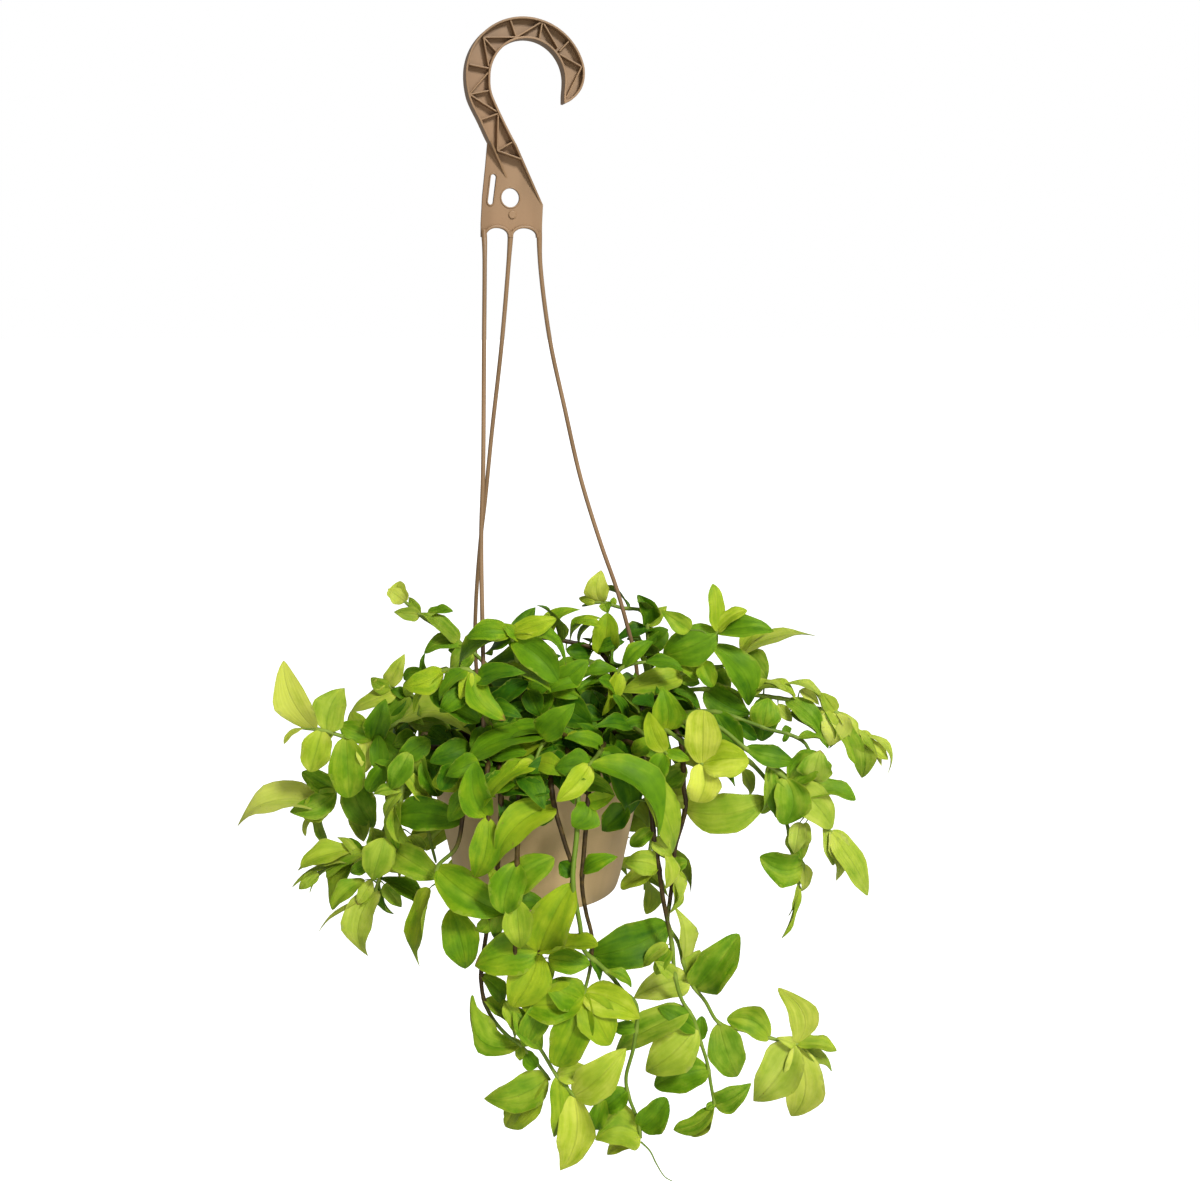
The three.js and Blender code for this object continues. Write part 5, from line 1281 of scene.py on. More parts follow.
# The flat part of the moulding in its own plane: x across, y up from the seat, z from back to front.
HOOK_TURN = 16
HOOK_BORE = 24.3
RING_CENTRE, RING_SIZE = point(-1, -23.5), point(39.1, 36.5)
LEG_OUTER = [[-39.8, -29.7], [-38.4, -36.8], [-36.5, -41.5], [-31.5, -51], [-27.2, -60], [-25.3, -63.6]]
LEG_INNER = [[-24.3, -29], [-23.4, -34], [-20.4, -41], [-16.6, -48.7], [-10.9, -59.5], [-7.7, -65]]
PLATE_LEFT = [[-26.8, -77.7], [-29.1, -96.2], [-30.3, -113], [-30.5, -122]]
PLATE_RIGHT = [[11.1, -101.1], [10.4, -113], [10.2, -122]]
TIP_INNER = [[23.6, -38], [23.7, -33], [24.1, -28.5]]
TIP_OUTER = [
    [24.6, -38.4], [27.6, -36.9], [30.2, -35], [32.6, -32.7], [34.7, -30], [36.2, -27], [37.1, -23.8],
    [37.5, -20],
]
RING_START = 12  # degrees round the ring where the tip's edge joins it
ARCHES = [(-20, 7.4), (-1.7, 8)]  # middle and half width of each
ARCH_SPRING, ARCH_RISE = -121, 5
EYE, EYE_RADIUS = (-10.7, -97.1), 5.9
BOSS, BOSS_RADIUS, BOSS_START, BOSS_TOP, BOSS_ROUNDING = (-9.6, -107.7), 2.6, 1, 3.4, 0.5
SLOT, SLOT_WIDTH = ((-21.7, -84.4), (-23.9, -99.8)), 3.5
# Raised rims: how far outside the edge their middle lies, their thickness and their height over the back.
ARCH_RIM, ARCH_RIM_ROUNDING = (0.7, 1.9, 4.6), 0.7
SLOT_RIM, EYE_RIM = (0.5, 0.9, 3), (0.5, 0.9, 2.8)
# Walls that run on from the hook's edges and sink into the plate.
FINS = [((-24.9, -62.4), (-12.8, -85)), ((-8.4, -65.2), (10.3, -101.1))]
RIBS = [
    [[-28.2, -0.5], [-7, 0.6]], [[-28.2, -0.5], [-19.3, -9.4]], [[-28.2, -0.5], [-25, -17.7]],
    [[-7, 0.6], [-10.7, 10.6]], [[-7, 0.6], [10, 10.8]], [[10, 10.8], [8, 0.4]], [[10, 10.8], [20, -4.6]],
    [[21, -6.6], [28, 0.4]], [[21, -8.4], [35.7, -15.4]], [[35.7, -15.4], [25.6, -34.6]],
    [[-37.6, -17], [-24.6, -18.9]], [[-24.6, -20.5], [-37.6, -34.6]], [[-37.6, -35], [-24, -32]],
    [[-37.6, -35], [-20, -45]], [[-19, -45.8], [-31, -50.2]], [[-19.4, -45.8], [-20.2, -68.6]],
    [[-20.2, -68.6], [-9.6, -62.6]], [[-20.2, -68.6], [-4.6, -73.4]],
]
WIRES = [
    [[-28.2, -6, -118], [-27.6, -9.2, -126], [-28.1, -21.3, -194], [-28.9, -34.9, -272], [-30.2, -42.2, -313],
     [-29.6, -51.2, -366], [-28.9, -58.2, -407], [-28.9, -64, -440]],
    [[-11.1, -1, -118], [-11.9, 0.4, -128], [-18.6, 12, -189], [-27.1, 24.8, -250], [-33.5, 35.2, -300],
     [-37.1, 40.4, -325], [-42.2, 50.2, -373], [-44, 56.4, -409], [-42.8, 57.6, -440]],
    [[7.2, 4.3, -118], [7.8, 4.6, -140], [13.7, 5.2, -188], [22.8, 6.2, -231], [34, 7.6, -281],
     [47.3, 9, -325], [59, 10, -359], [66.8, 10.8, -387], [71.4, 11.6, -406], [74.4, 12.4, -438]],
]
WIRE_STEP = 4
WIRE_FOOT = (5, 0, -6)  # heights over its lug that a wire ends through
WIRE_ROOT, ROOT_STRETCH, ROOT_SWELL = -118, 12, 1.3  # where the wires leave the plate, and how they thicken
BUTTON = [
    (0, -6.6), (1.7, -6.6), (2.2, -6.3), (2.4, -5.8), (2.4, -4.1), (2.2, -3.6), (1.7, -3.3), (0, -3.3),
]
LUG_ANGLES = [244, 128, 10]
LUG_INSET, LUG_HOLE_RADIUS = 6, 1.7
LUG_HALF_WIDTH, LUG_REACH, LUG_LOW, LUG_HIGH = 4.2, 5, -3, -1
SUNK = 0.5  # how far over the back a piece that stands on the web starts, so no two faces lie in one plane
WEB_ROUNDING, BED_ROUNDING, LUG_ROUNDING = 0.3, 0.1, 0.3
MOST_ROUNDED = 0.38  # the most of a wall's width that each of its edges may be rounded
MOULDED_ANGLE, TURNED_ANGLE = 12, 38  # degrees from which an edge shows, on flat and on round pieces


def ring_point(degrees):
    """A place on the hook's outer edge."""
    return RING_CENTRE + RING_SIZE * heading(degrees)


def bore_point(degrees):
    """A place on the hook's inner edge."""
    return HOOK_BORE * heading(degrees) - point(0, HOOK_BORE)


def smoothed(places, step=1.5):
    """Places close together on a smooth line through the given ones."""
    line = SmoothLine([point(*place) for place in places])
    return [line.place_at(d) for d in sweep(0, line.length, max(2, round(line.length / step)))]


def circle(centre, radius, count=40):
    """Places evenly round a circle."""
    return [point(*centre) + radius * heading(a) for a in sweep(0, 360 - 360 / count, count - 1)]


def slot_outline(width):
    """The plate's long slot."""
    high, low = (point(*end) for end in SLOT)
    turn = math.degrees(math.atan2(*(high - low)[::-1]))
    ends = [(high, sweep(turn - 90, turn + 90, 18)), (low, sweep(turn + 90, turn + 270, 18))]
    return [end + width / 2 * heading(a) for end, arc in ends for a in arc]


def arch_line(arch, grow):
    """The edge of an arched notch, from its left foot over the top to its right foot."""
    middle, half = arch
    foot = PLATE_LEFT[-1][1]
    size = point(-(half + grow), ARCH_RISE + grow)
    over = [point(middle, ARCH_SPRING) + size * heading(a) for a in sweep(0, 180, 20)]
    return [(middle - half - grow, foot), *over, (middle + half + grow, foot)]


def web_outline():
    """The silhouette of the hook, its leg and the plate with the notches at its foot."""
    notches = [place for arch in ARCHES for place in arch_line(arch, 0)]
    return [*outer_edge(), *PLATE_LEFT, *notches, *reversed(PLATE_RIGHT), *reversed(inner_edge())]


def outer_edge():
    """The hook's outer edge, from its tip over the ring and down the leg."""
    return smoothed([*TIP_OUTER, *(ring_point(a) for a in sweep(RING_START, 180, 28)), *LEG_OUTER], 1)


def inner_edge():
    """The hook's inner edge, from its tip over the bore and down the leg."""
    return smoothed([*TIP_INNER, *(bore_point(a) for a in sweep(0, 180, 30)), *LEG_INNER], 1)


def inset(line, inward, width, boundary):
    """A line moved inwards by a width, less what comes nearer than that to the boundary."""
    line = np.array(line)
    along = np.gradient(line, axis=0)
    along /= np.linalg.norm(along, axis=1)[:, None]
    moved = line + inward * width * np.stack([-along[:, 1], along[:, 0]], axis=1)
    starts, steps = boundary[:-1], np.diff(boundary, axis=0)
    shares = np.einsum("ijk,jk->ij", moved[:, None] - starts, steps) / np.einsum("jk,jk->j", steps, steps)
    feet = starts + np.clip(shares, 0, 1)[:, :, None] * steps
    gaps = np.linalg.norm(moved[:, None] - feet, axis=2).min(axis=1)
    return [tuple(place) for place, gap in zip(moved, gaps) if gap > width - 0.03]


def channel_lines(width):
    """The hook's outer and inner edge, each moved inwards by a width."""
    outer, inner = outer_edge(), inner_edge()
    boundary = np.array([*reversed(outer), *inner])
    return inset(outer, 1, width, boundary), inset(inner, -1, width, boundary)


def wall_outline(width):
    """The wall along both edges of the hook and its leg, joined at the tip."""
    outer, inner = channel_lines(width)
    return [*reversed(outer_edge()), *inner_edge(), *reversed(inner), *outer]


def bed_outline(width):
    """The channel's floor between walls of this width, down to the lowest rib but one."""
    outer, inner = channel_lines(width / 2)
    return [*reversed(outer), *inner, *reversed(RIBS[-2])]


def flat_plate(name, outline, holes, low, high, rounding):
    """A flat moulding with holes and rounded edges, between two heights."""
    drawing = bpy.data.curves.new(name, "CURVE")
    drawing.dimensions = "2D"
    drawing.fill_mode = "BOTH"
    drawing.bevel_depth = rounding * MM
    drawing.bevel_resolution = 2
    drawing.offset = -rounding * MM
    drawing.extrude = ((high - low) / 2 - rounding) * MM
    for loop in [outline, *holes]:
        spline = drawing.splines.new("POLY")
        spline.points.add(len(loop) - 1)
        for place, (x, y) in zip(spline.points, loop):
            place.co = (x * MM, y * MM, 0, 1)
        spline.use_cyclic_u = True
    holder = bpy.data.objects.new(name, drawing)
    bpy.context.scene.collection.objects.link(holder)
    bpy.context.view_layer.update()
    mesh = bpy.data.meshes.new_from_object(holder.evaluated_get(bpy.context.evaluated_depsgraph_get()))
    bpy.data.objects.remove(holder)
    mesh.transform(Matrix.Translation((0, 0, (low + high) / 2 * MM)))
    made = bpy.data.objects.new(name, mesh)
    bpy.context.scene.collection.objects.link(made)
    return outward(made)


def wall_tree():
    """Sweeps a rounded wall of even width along lines in the moulding's plane."""
    bench, given = geometry_tree("Moulded wall", {
        "Width": ("Float", 2.2 * MM), "Height": ("Float", 10 * MM), "Rounding": ("Float", 0.45 * MM),
        "Finish": ("Material", None),
    })
    line = bench.add("GeometryNodeMeshToCurve", links={"Mesh": given})
    line = bench.add("GeometryNodeSetCurveNormal", {"mode": "Z_UP"}, {"Curve": line})
    section = bench.add("GeometryNodeCurvePrimitiveQuadrilateral", links={
        "Width": given.other("Width"), "Height": given.other("Height"),
    })
    section = bench.add("GeometryNodeFilletCurve", {"mode": "POLY"}, {
        "Curve": section, "Count": 3, "Radius": given.other("Rounding"),
    })
    wall = bench.add("GeometryNodeCurveToMesh", links={
        "Curve": line, "Profile Curve": section, "Fill Caps": True,
    })
    return close_tree(bench, wall, given.other("Finish"))


def rod_tree():
    """Sweeps a round rod along lines."""
    bench, given = geometry_tree("Round rod", {"Sides": ("Int", ROD_SIDES), "Finish": ("Material", None)})
    return close_tree(bench, rod_along(bench, given, given.other("Sides")), given.other("Finish"))


def lines_object(name, lines, closed=(), height=0.0):
    """An object whose edges follow lines of places in two or three dimensions."""
    places, edges = [], []
    for k, line in enumerate(lines):
        first = len(places)
        places += [(*p, height)[:3] for p in line]
        edges += [(i, i + 1) for i in range(first, len(places) - 1)]
        if k in closed:
            edges.append((len(places) - 1, first))
    return mesh_object(name, places, edges=edges)


def moulding_place():
    """The moulding's plane in the object's frame."""
    turn = math.radians(HOOK_TURN)
    across, front = (math.cos(turn), math.sin(turn), 0), (math.sin(turn), -math.cos(turn), 0)
    return Matrix([(across[i], UP[i], front[i], 0) for i in range(3)] + [(0, 0, 0, 1)])


def fin(name, start, end, height0, height1, width, back):
    """A straight wall whose height over the back changes from end to end."""
    a, b = point(*start), point(*end)
    across = point(-(b - a)[1], (b - a)[0]) / np.linalg.norm(b - a) * width / 2
    places = [
        (*(corner + side * across), back + z)
        for corner, height in ((a, height0), (b, height1))
        for z in (SUNK, height)
        for side in (-1, 1)
    ]
    faces = [(0, 1, 3, 2), (4, 6, 7, 5), (0, 4, 5, 1), (2, 3, 7, 6), (0, 2, 6, 4), (1, 5, 7, 3)]
    return outward(mesh_object(name, places, faces))


# ---------------- finishes


def plastic_finish(base):
    """Satin moulded plastic with faint flow marks and dust."""
    material, bench, place = new_finish("Hanger plastic")
    flow = bench.noise(place * point(1, 1, 0.35), 38, 3)
    fine = bench.noise(place, 900, 2)
    cloud = bench.noise(place, 14, 2)
    lighter = tuple(min(1, c * 1.1 + 0.01) for c in base)
    shade = bench.mixed(bench.step(flow, 0.35, 0.65), dimmed(base, 0.86), lighter)
    shade = bench.mixed(bench.step(cloud, 0.45, 0.75) * 0.35, shade, linear("9a7450"))
    shade = bench.mixed(bench.step(fine, 0.62, 0.8) * 0.25, shade, dimmed(base, 0.7))
    rough = 0.34 + flow * 0.12 + fine * 0.06
    close_finish(
        bench, Base_Color=shade, Roughness=rough, Normal=bench.bump(fine * 0.5 + flow * 2, 0.2, 0.0002),
        IOR=1.5, Specular_IOR_Level=0.38,
    )
    return material


def pot_finish(base):
    """Nursery pot plastic: matt, with moulding rings, water marks and dust toward the foot, and an olive
    tint toward the rim that is painted shade from the leaves hanging over it.
    """
    material, bench, place = new_finish("Pot plastic")
    _, _, z = bench.parts(place)
    streak = bench.noise(place * point(1, 1, 0.12), 60, 3)
    dust = bench.noise(place, 25, 4, 0.6)
    fine = bench.noise(place, 700, 2)
    rings = bench.shaped("SINE", z * 2600)
    low = bench.step(z, RIM_Z * MM, (RIM_Z - POT_HEIGHT) * MM)
    shade = bench.mixed(bench.step(streak, 0.35, 0.7) * 0.5, base, dimmed(base, 0.78))
    shade = bench.mixed(bench.step(dust, 0.45, 0.75) * low * 0.5, shade, linear("cfbb92"))
    # Olive tint toward the rim, in patches where the dust noise is low: painted shade and green light from
    # the leaves over the pot.
    shade = bench.mixed(bench.step(dust, 0.55, 0.3) * (1 - low) * 0.3, shade, linear("a29358"))
    shade = bench.mixed(bench.step(fine, 0.66, 0.82) * 0.3, shade, linear("6d5640"))
    rough = 0.45 + dust * 0.16
    height = rings * 0.25 + fine + streak
    close_finish(bench, Base_Color=shade, Roughness=rough, Normal=bench.bump(height, 0.25, 0.0002), IOR=1.5)
    return material


def soil_finish(peat):
    """Moist potting mix."""
    material, bench, place = new_finish("Potting mix")
    coarse = bench.noise(place, 160, 4, 0.65)
    fine = bench.noise(place, 900, 3, 0.6)
    shade = bench.mixed(bench.step(coarse, 0.35, 0.7), dimmed(peat, 0.45), dimmed(peat, 1.9))
    shade = bench.mixed(bench.step(fine, 0.6, 0.75) * 0.5, shade, linear("6b523a"))
    rough = 0.72 + fine * 0.25
    close_finish(bench, Base_Color=shade, Roughness=rough, Normal=bench.bump(coarse * 2 + fine, 0.8, 0.0012))
    return material


def crumb_finish(peat):
    """Crumbs of peat and bark with a few white grains of perlite; `luck` tells them apart."""
    material, bench, place = new_finish("Crumbs")
    luck = bench.value("luck")
    fine = bench.noise(place, 1200, 3, 0.6)
    shade = bench.ramp(luck, [
        (0.0, dimmed(peat, 0.5)), (0.45, peat), (0.7, linear("5a412c")), (0.86, linear("7d6146")),
        (0.93, linear("8c7256")), (0.95, linear("d9d5c9")),
    ])
    shade = bench.mixed(bench.step(fine, 0.4, 0.7) * 0.5, shade, dimmed(peat, 0.5))
    rough = 0.7 + fine * 0.25
    close_finish(bench, Base_Color=shade, Roughness=rough, Normal=bench.bump(fine, 0.7, 0.0006))
    return material


def leaf_finish(colours):
    """A soft leaf: a hue by its age and by the light and shade painted into its tone, parallel veins, a
    creased midrib, paler underside, browned tips.
    """
    material, bench, place = new_finish("Leaf")
    x, y, skin = bench.parts(bench.vector("blade"))
    tone, luck, brown, faded = (bench.value(name) for name in ("tone", "luck", "brown", "faded"))
    side = bench.shaped("ABSOLUTE", x)
    mottle = bench.noise(place, 90, 3, 0.55)
    fine = bench.noise(place, 700, 2)
    streak = bench.noise(bench.vector("blade") * point(2.6, 1.2, 0) + place * 25, 1, 3, 0.55)
    deep, green, fresh, yellow = colours.deep, colours.green, colours.fresh, colours.yellow

    # The hue follows the tone, which holds painted light and shade: low hues give the deep green of leaves in
    # the shade of the crown.
    hue = tone + faded * 0.1 + (mottle - 0.5) * 0.5 + (streak - 0.5) * 0.6 + (luck - 0.5) * 0.16
    hue = hue + bench.step(y, 0.3, 0.0) * 0.14
    shade = bench.ramp(hue, [(0.0, deep), (0.36, green), (0.7, fresh), (1.0, yellow)])
    shade = bench.mixed(faded * bench.step(hue, 0.2, 0.8) * (0.3 + mottle * 0.4), shade, colours.faded)
    veins = bench.shaped("COSINE", x * 31.4)
    vein_line = bench.step(veins, 0.55, 1.0)
    shade = bench.mixed(vein_line * 0.05, shade, dimmed(green, 0.6))
    midrib = bench.step(side, 0.075, 0.015)
    shade = bench.mixed(midrib * bench.step(y, 1.0, 0.7) * 0.16, shade, dimmed(green, 0.4))
    margin = bench.step(side, 0.93, 1.0)
    shade = bench.mixed(margin * 0.35, shade, fresh)
    below = bench.step(skin, 0.2, -0.2)
    pale = bench.mixed(0.5, shade, linear("96a83e"))
    shade = bench.mixed(below * 0.75, shade, pale)
    edge = y + side * 0.12 + (mottle - 0.5) * 0.35
    scorched = bench.step(edge, 1.12 - brown * 0.5, 1.22 - brown * 0.5)
    specks = bench.step(bench.noise(place, 330, 1), 0.74, 0.8) * bench.step(luck, 0.55, 0.9)
    shade = bench.mixed(specks * 0.6, shade, linear("7a6a2a"))
    shade = bench.mixed(scorched, shade, linear("8a6a35"))

    rough = 0.44 + mottle * 0.14 + below * 0.2 + scorched * 0.2
    height = veins * 0.18 + midrib * -1.6 + fine * 0.35 + mottle * 0.9 + streak * 1.5
    close_finish(
        bench, Base_Color=shade, Roughness=rough, Normal=bench.bump(height, 0.55, 0.00025), IOR=1.42,
        Specular_IOR_Level=0.22, Specular_Tint=(0.9, 1.0, 0.55, 1.0),
        Subsurface_Weight=0.35, Subsurface_Radius=(1.0, 1.0, 0.25), Subsurface_Scale=0.0012,
    )
    return material


def stem_finish(colours):
    """A jointed stem, green where it is young and woody brown where it is old."""
    material, bench, place = new_finish("Stem")
    age, clasp, tone = bench.value("age"), bench.value("clasp"), bench.value("tone")
    patches = bench.noise(place, 160, 3)
    streaks = bench.noise(place * point(1, 1, 0.2), 900, 2)
    young = bench.ramp(tone, [(0.0, linear("557420")), (0.6, linear("809b2e")), (1.0, linear("a8b84c"))])
    old = bench.mixed(bench.step(patches, 0.4, 0.75), colours.woody, linear("5e4c20"))
    woody = bench.step(age + (patches - 0.5) * 0.5, 0.3, 0.7)
    shade = bench.mixed(woody, young, old)
    shade = bench.mixed(clasp * (1 - woody) * 0.5, shade, linear("9cae48"))
    shade = bench.mixed(bench.step(streaks, 0.55, 0.75) * 0.3, shade, linear("4a3a24"))
    close_finish(
        bench, Base_Color=shade, Roughness=0.42 + patches * 0.2, Normal=bench.bump(streaks, 0.4, 0.0003),
        IOR=1.45, Specular_IOR_Level=0.3,
    )
    return material


def floor_finish():
    """Plain white paper."""
    material, bench, place = new_finish("White paper")
    shade = bench.mixed(bench.noise(place, 3, 1), (0.9, 0.9, 0.9), (0.94, 0.94, 0.94))
    close_finish(bench, Base_Color=shade, Roughness=0.9, Emission_Color=(1, 1, 1, 1), Emission_Strength=1.0)
    return material


def finish(name, make, *settings):
    """The material of this name, made the first time it is asked for."""
    return bpy.data.materials.get(name) or make(*settings)


# ---------------- operators


class TRADESCANTIA_OT_hanger(bpy.types.Operator):
    """Makes the moulded hook, plate and wires"""

    bl_idname = "tradescantia.hanger"
    bl_label = "Make Hanger"
    bl_options = {"REGISTER", "UNDO"}

    def execute(self, context):
        sizes = context.scene.hanger_settings
        depth, web, floor, edge, rib, rib_height, rounding, wire_radius = (
            getattr(sizes, name) / MM
            for name in ("depth", "web", "floor", "edge", "rib", "rib_height", "rounding", "wire_radius")
        )
        back = -depth / 2
        plastic = finish("Hanger plastic", plastic_finish, sizes.plastic)
        openings = [circle(EYE, EYE_RADIUS), slot_outline(SLOT_WIDTH)]
        pieces = [
            flat_plate("web", web_outline(), openings, back, back + web, WEB_ROUNDING),
            flat_plate("walls", wall_outline(edge), [], back + web - 2 * WEB_ROUNDING, -back, rounding),
            flat_plate("floor", bed_outline(edge), [], back + SUNK, back + web + floor, BED_ROUNDING),
        ]
        arches = [arch_line(arch, ARCH_RIM[0]) for arch in ARCHES]
        walls = [
            (RIBS, (), rib, rib_height, rounding),
            (arches, (), *ARCH_RIM[1:], ARCH_RIM_ROUNDING),
            ([slot_outline(SLOT_WIDTH + 2 * SLOT_RIM[0])], (0,), *SLOT_RIM[1:], rounding),
            ([circle(EYE, EYE_RADIUS + EYE_RIM[0])], (0,), *EYE_RIM[1:], rounding),
        ]
        tree = wall_tree()
        for lines, closed, width, height, corner in walls:
            made = lines_object("wall", lines, closed, back + (height + SUNK) / 2)
            pieces.append(grown(
                made, tree, Width=width * MM, Height=(height - SUNK) * MM,
                Rounding=min(corner, width * MOST_ROUNDED) * MM, Finish=plastic,
            ))
        for start, end in FINS:
            pieces.append(softened(fin("fin", start, end, depth, web, edge, back), rounding * MM, 3))
        outline = circle(BOSS, BOSS_RADIUS)
        pieces.append(flat_plate("boss", outline, [], back + BOSS_START, back + BOSS_TOP, BOSS_ROUNDING))
        for piece in pieces:
            shaded(piece, MOULDED_ANGLE).data.transform(moulding_place())

        mouth = context.scene.pot_settings.mouth_radius / MM
        wires, thick = [], []
        for places, degrees in zip(WIRES, LUG_ANGLES):
            foot = round_pot(mouth - LUG_INSET, degrees, 0)
            line = SmoothLine([*(point(*p) for p in places), *(foot + UP * h for h in WIRE_FOOT)])
            wires.append([line.place_at(d) for d in sweep(0, line.length, round(line.length / WIRE_STEP))])
            for place in wires[-1]:
                root = math.exp(-((place[2] - WIRE_ROOT) / ROOT_STRETCH) ** 2)
                thick.append(blend(wire_radius, ROOT_SWELL * wire_radius, root))
            button = lathe("button", BUTTON, 20, 0, 0)
            button.data.transform(Matrix.Translation(foot * MM))
            pieces.append(shaded(button, TURNED_ANGLE))
        rods = lines_object("wires", wires)
        set_values(rods.data, thick=np.array(thick) * MM)
        pieces.append(shaded(grown(rods, rod_tree(), Sides=ROD_SIDES, Finish=plastic), TURNED_ANGLE))
        for piece in pieces:
            painted(piece, plastic)
        finish_piece(joined("hanger_moulding", pieces), "hanger")
        return {"FINISHED"}


LIP_DEPTH, BASE_THICKNESS, BASE_RECESS = 8, 5, 3
HOLE_COUNT, HOLE_RADIUS, HOLE_REACH, CUT_REACH = 6, 4, 32, 12


class TRADESCANTIA_OT_pot(bpy.types.Operator):
    """Makes the pot with its lip, lugs, base and drainage holes"""

    bl_idname = "tradescantia.pot"
    bl_label = "Make Pot"
    bl_options = {"REGISTER", "UNDO"}

    def execute(self, context):
        sizes = context.scene.pot_settings
        names = ("rim_radius", "mouth_radius", "base_radius", "height", "wall")
        rim, mouth, base, height, wall = (getattr(sizes, name) / MM for name in names)

        def radius(depth):
            return blend(mouth, base, depth / height)

        inner, recess = height - BASE_THICKNESS, BASE_RECESS - height
        profile = [
            (0, recess), (base - 20, recess), (base - 8, recess), (base - 7, -height),
            (base - 2.5, -height), (base - 0.7, 0.7 - height), (base, 2.5 - height),
            *((radius(d), -d) for d in sweep(height - 8, LIP_DEPTH + 1.5, 12)),
            (radius(LIP_DEPTH), -LIP_DEPTH), (rim - 0.6, -6.5), (rim, -5.8), (rim, -1.6), (rim - 0.4, -0.5),
            (rim - 1.4, 0), (mouth - wall + 0.5, 0), (mouth - wall, -0.6),
            *((radius(d) - wall, -d) for d in sweep(LIP_DEPTH, inner - 3, 8)),
            (radius(inner) - wall - 2, -inner), (0, -inner),
        ]
        shell = lathe("shell", profile, 160, POT_X, RIM_Z)
        cutters = []
        for i in range(HOLE_COUNT):
            rod = [(0, -CUT_REACH), (HOLE_RADIUS, -CUT_REACH), (HOLE_RADIUS, CUT_REACH), (0, CUT_REACH)]
            place = round_pot(HOLE_REACH, 360 / HOLE_COUNT * i, -height)
            cutters.append(lathe("hole", rod, 28, 0, 0))
            cutters[-1].data.transform(Matrix.Translation(Vector(place) * MM))
        cutter = joined("holes", cutters)
        cut = shell.modifiers.new("Holes", "BOOLEAN")
        cut.operation = "DIFFERENCE"
        cut.object = cutter
        cut.solver = "EXACT"
        softened(shell, 0.5 * MM, 2, 40)
        bpy.data.objects.remove(cutter)
        pieces = [shell]
        tab = [LUG_HALF_WIDTH * heading(a) for a in sweep(90, 270, 16)]
        tab += [(LUG_REACH, -LUG_HALF_WIDTH), (LUG_REACH, LUG_HALF_WIDTH)]
        hole = circle((0, 0), LUG_HOLE_RADIUS, 20)
        for degrees in LUG_ANGLES:
            lug = flat_plate("lug", tab, [hole], LUG_LOW, LUG_HIGH, LUG_ROUNDING)
            place = Matrix.Translation(Vector(round_pot(mouth - LUG_INSET, degrees, 0)) * MM)
            lug.data.transform(place @ Matrix.Rotation(math.radians(degrees), 4, "Z"))
            pieces.append(lug)
        plastic = finish("Pot plastic", pot_finish, sizes.plastic)
        for piece in pieces:
            painted(piece, plastic)
        finish_piece(shaded(joined("pot_shell", pieces), TURNED_ANGLE), "pot")
        return {"FINISHED"}


SOIL_FOOT = -102.7  # the mix's underside, counted from the rim
SOIL_INSET = 2.3  # from the outside of the pot's wall to the mix
LEVEL_FROM, LEVEL_STRETCH = 74, 8  # the mix is level from here outwards, and lumpy a stretch further in


def lumps(x, y):
    """Height of the potting mix over its mean level, in mm."""
    return (
        1.5 * math.sin(0.09 * x + 1.3) * math.cos(0.11 * y - 0.4)
        + 0.8 * math.sin(0.31 * x + 0.17 * y)
        + 0.5 * math.sin(0.53 * y - 0.41 * x + 2.0)
        + 0.3 * math.sin(1.1 * x) * math.sin(1.3 * y)
    )


def crumb_tree():
    """Strews crumbs over the upward faces of a bed."""
    bench, given = geometry_tree("Strewn crumbs", {
        "Density": ("Float", CRUMB_DENSITY), "Size": ("Float", CRUMB_SIZE * MM), "Seed": ("Int", CRUMB_SEED),
        "Finish": ("Material", None),
    })
    seed = given.other("Seed")
    spots = bench.add("GeometryNodeDistributePointsOnFaces", {"distribute_method": "RANDOM"}, {
        "Mesh": given, "Density": given.other("Density"), "Seed": seed,
    })
    luck = bench.add("FunctionNodeRandomValue", {"data_type": "FLOAT"}, {"Seed": seed})
    spots = bench.add("GeometryNodeStoreNamedAttribute", {"data_type": "FLOAT", "domain": "POINT"}, {
        "Geometry": spots, "Name": "luck", "Value": luck,
    })
    crumb = bench.add("GeometryNodeMeshIcoSphere", links={"Radius": given.other("Size"), "Subdivisions": 1})
    turn = bench.add("FunctionNodeRandomValue", {"data_type": "FLOAT_VECTOR"}, {
        0: (0.0, 0.0, 0.0), 1: (FULL_TURN, FULL_TURN, FULL_TURN), "Seed": 3,
    })
    shape = bench.add("FunctionNodeRandomValue", {"data_type": "FLOAT_VECTOR"}, {
        0: (0.3, 0.3, 0.2), 1: (1.25, 0.8, 0.6), "Seed": 5,
    })
    copies = bench.add("GeometryNodeInstanceOnPoints", links={
        "Points": spots, "Instance": crumb, "Rotation": turn, "Scale": shape,
    })
    return close_tree(bench, copies, given.other("Finish"))


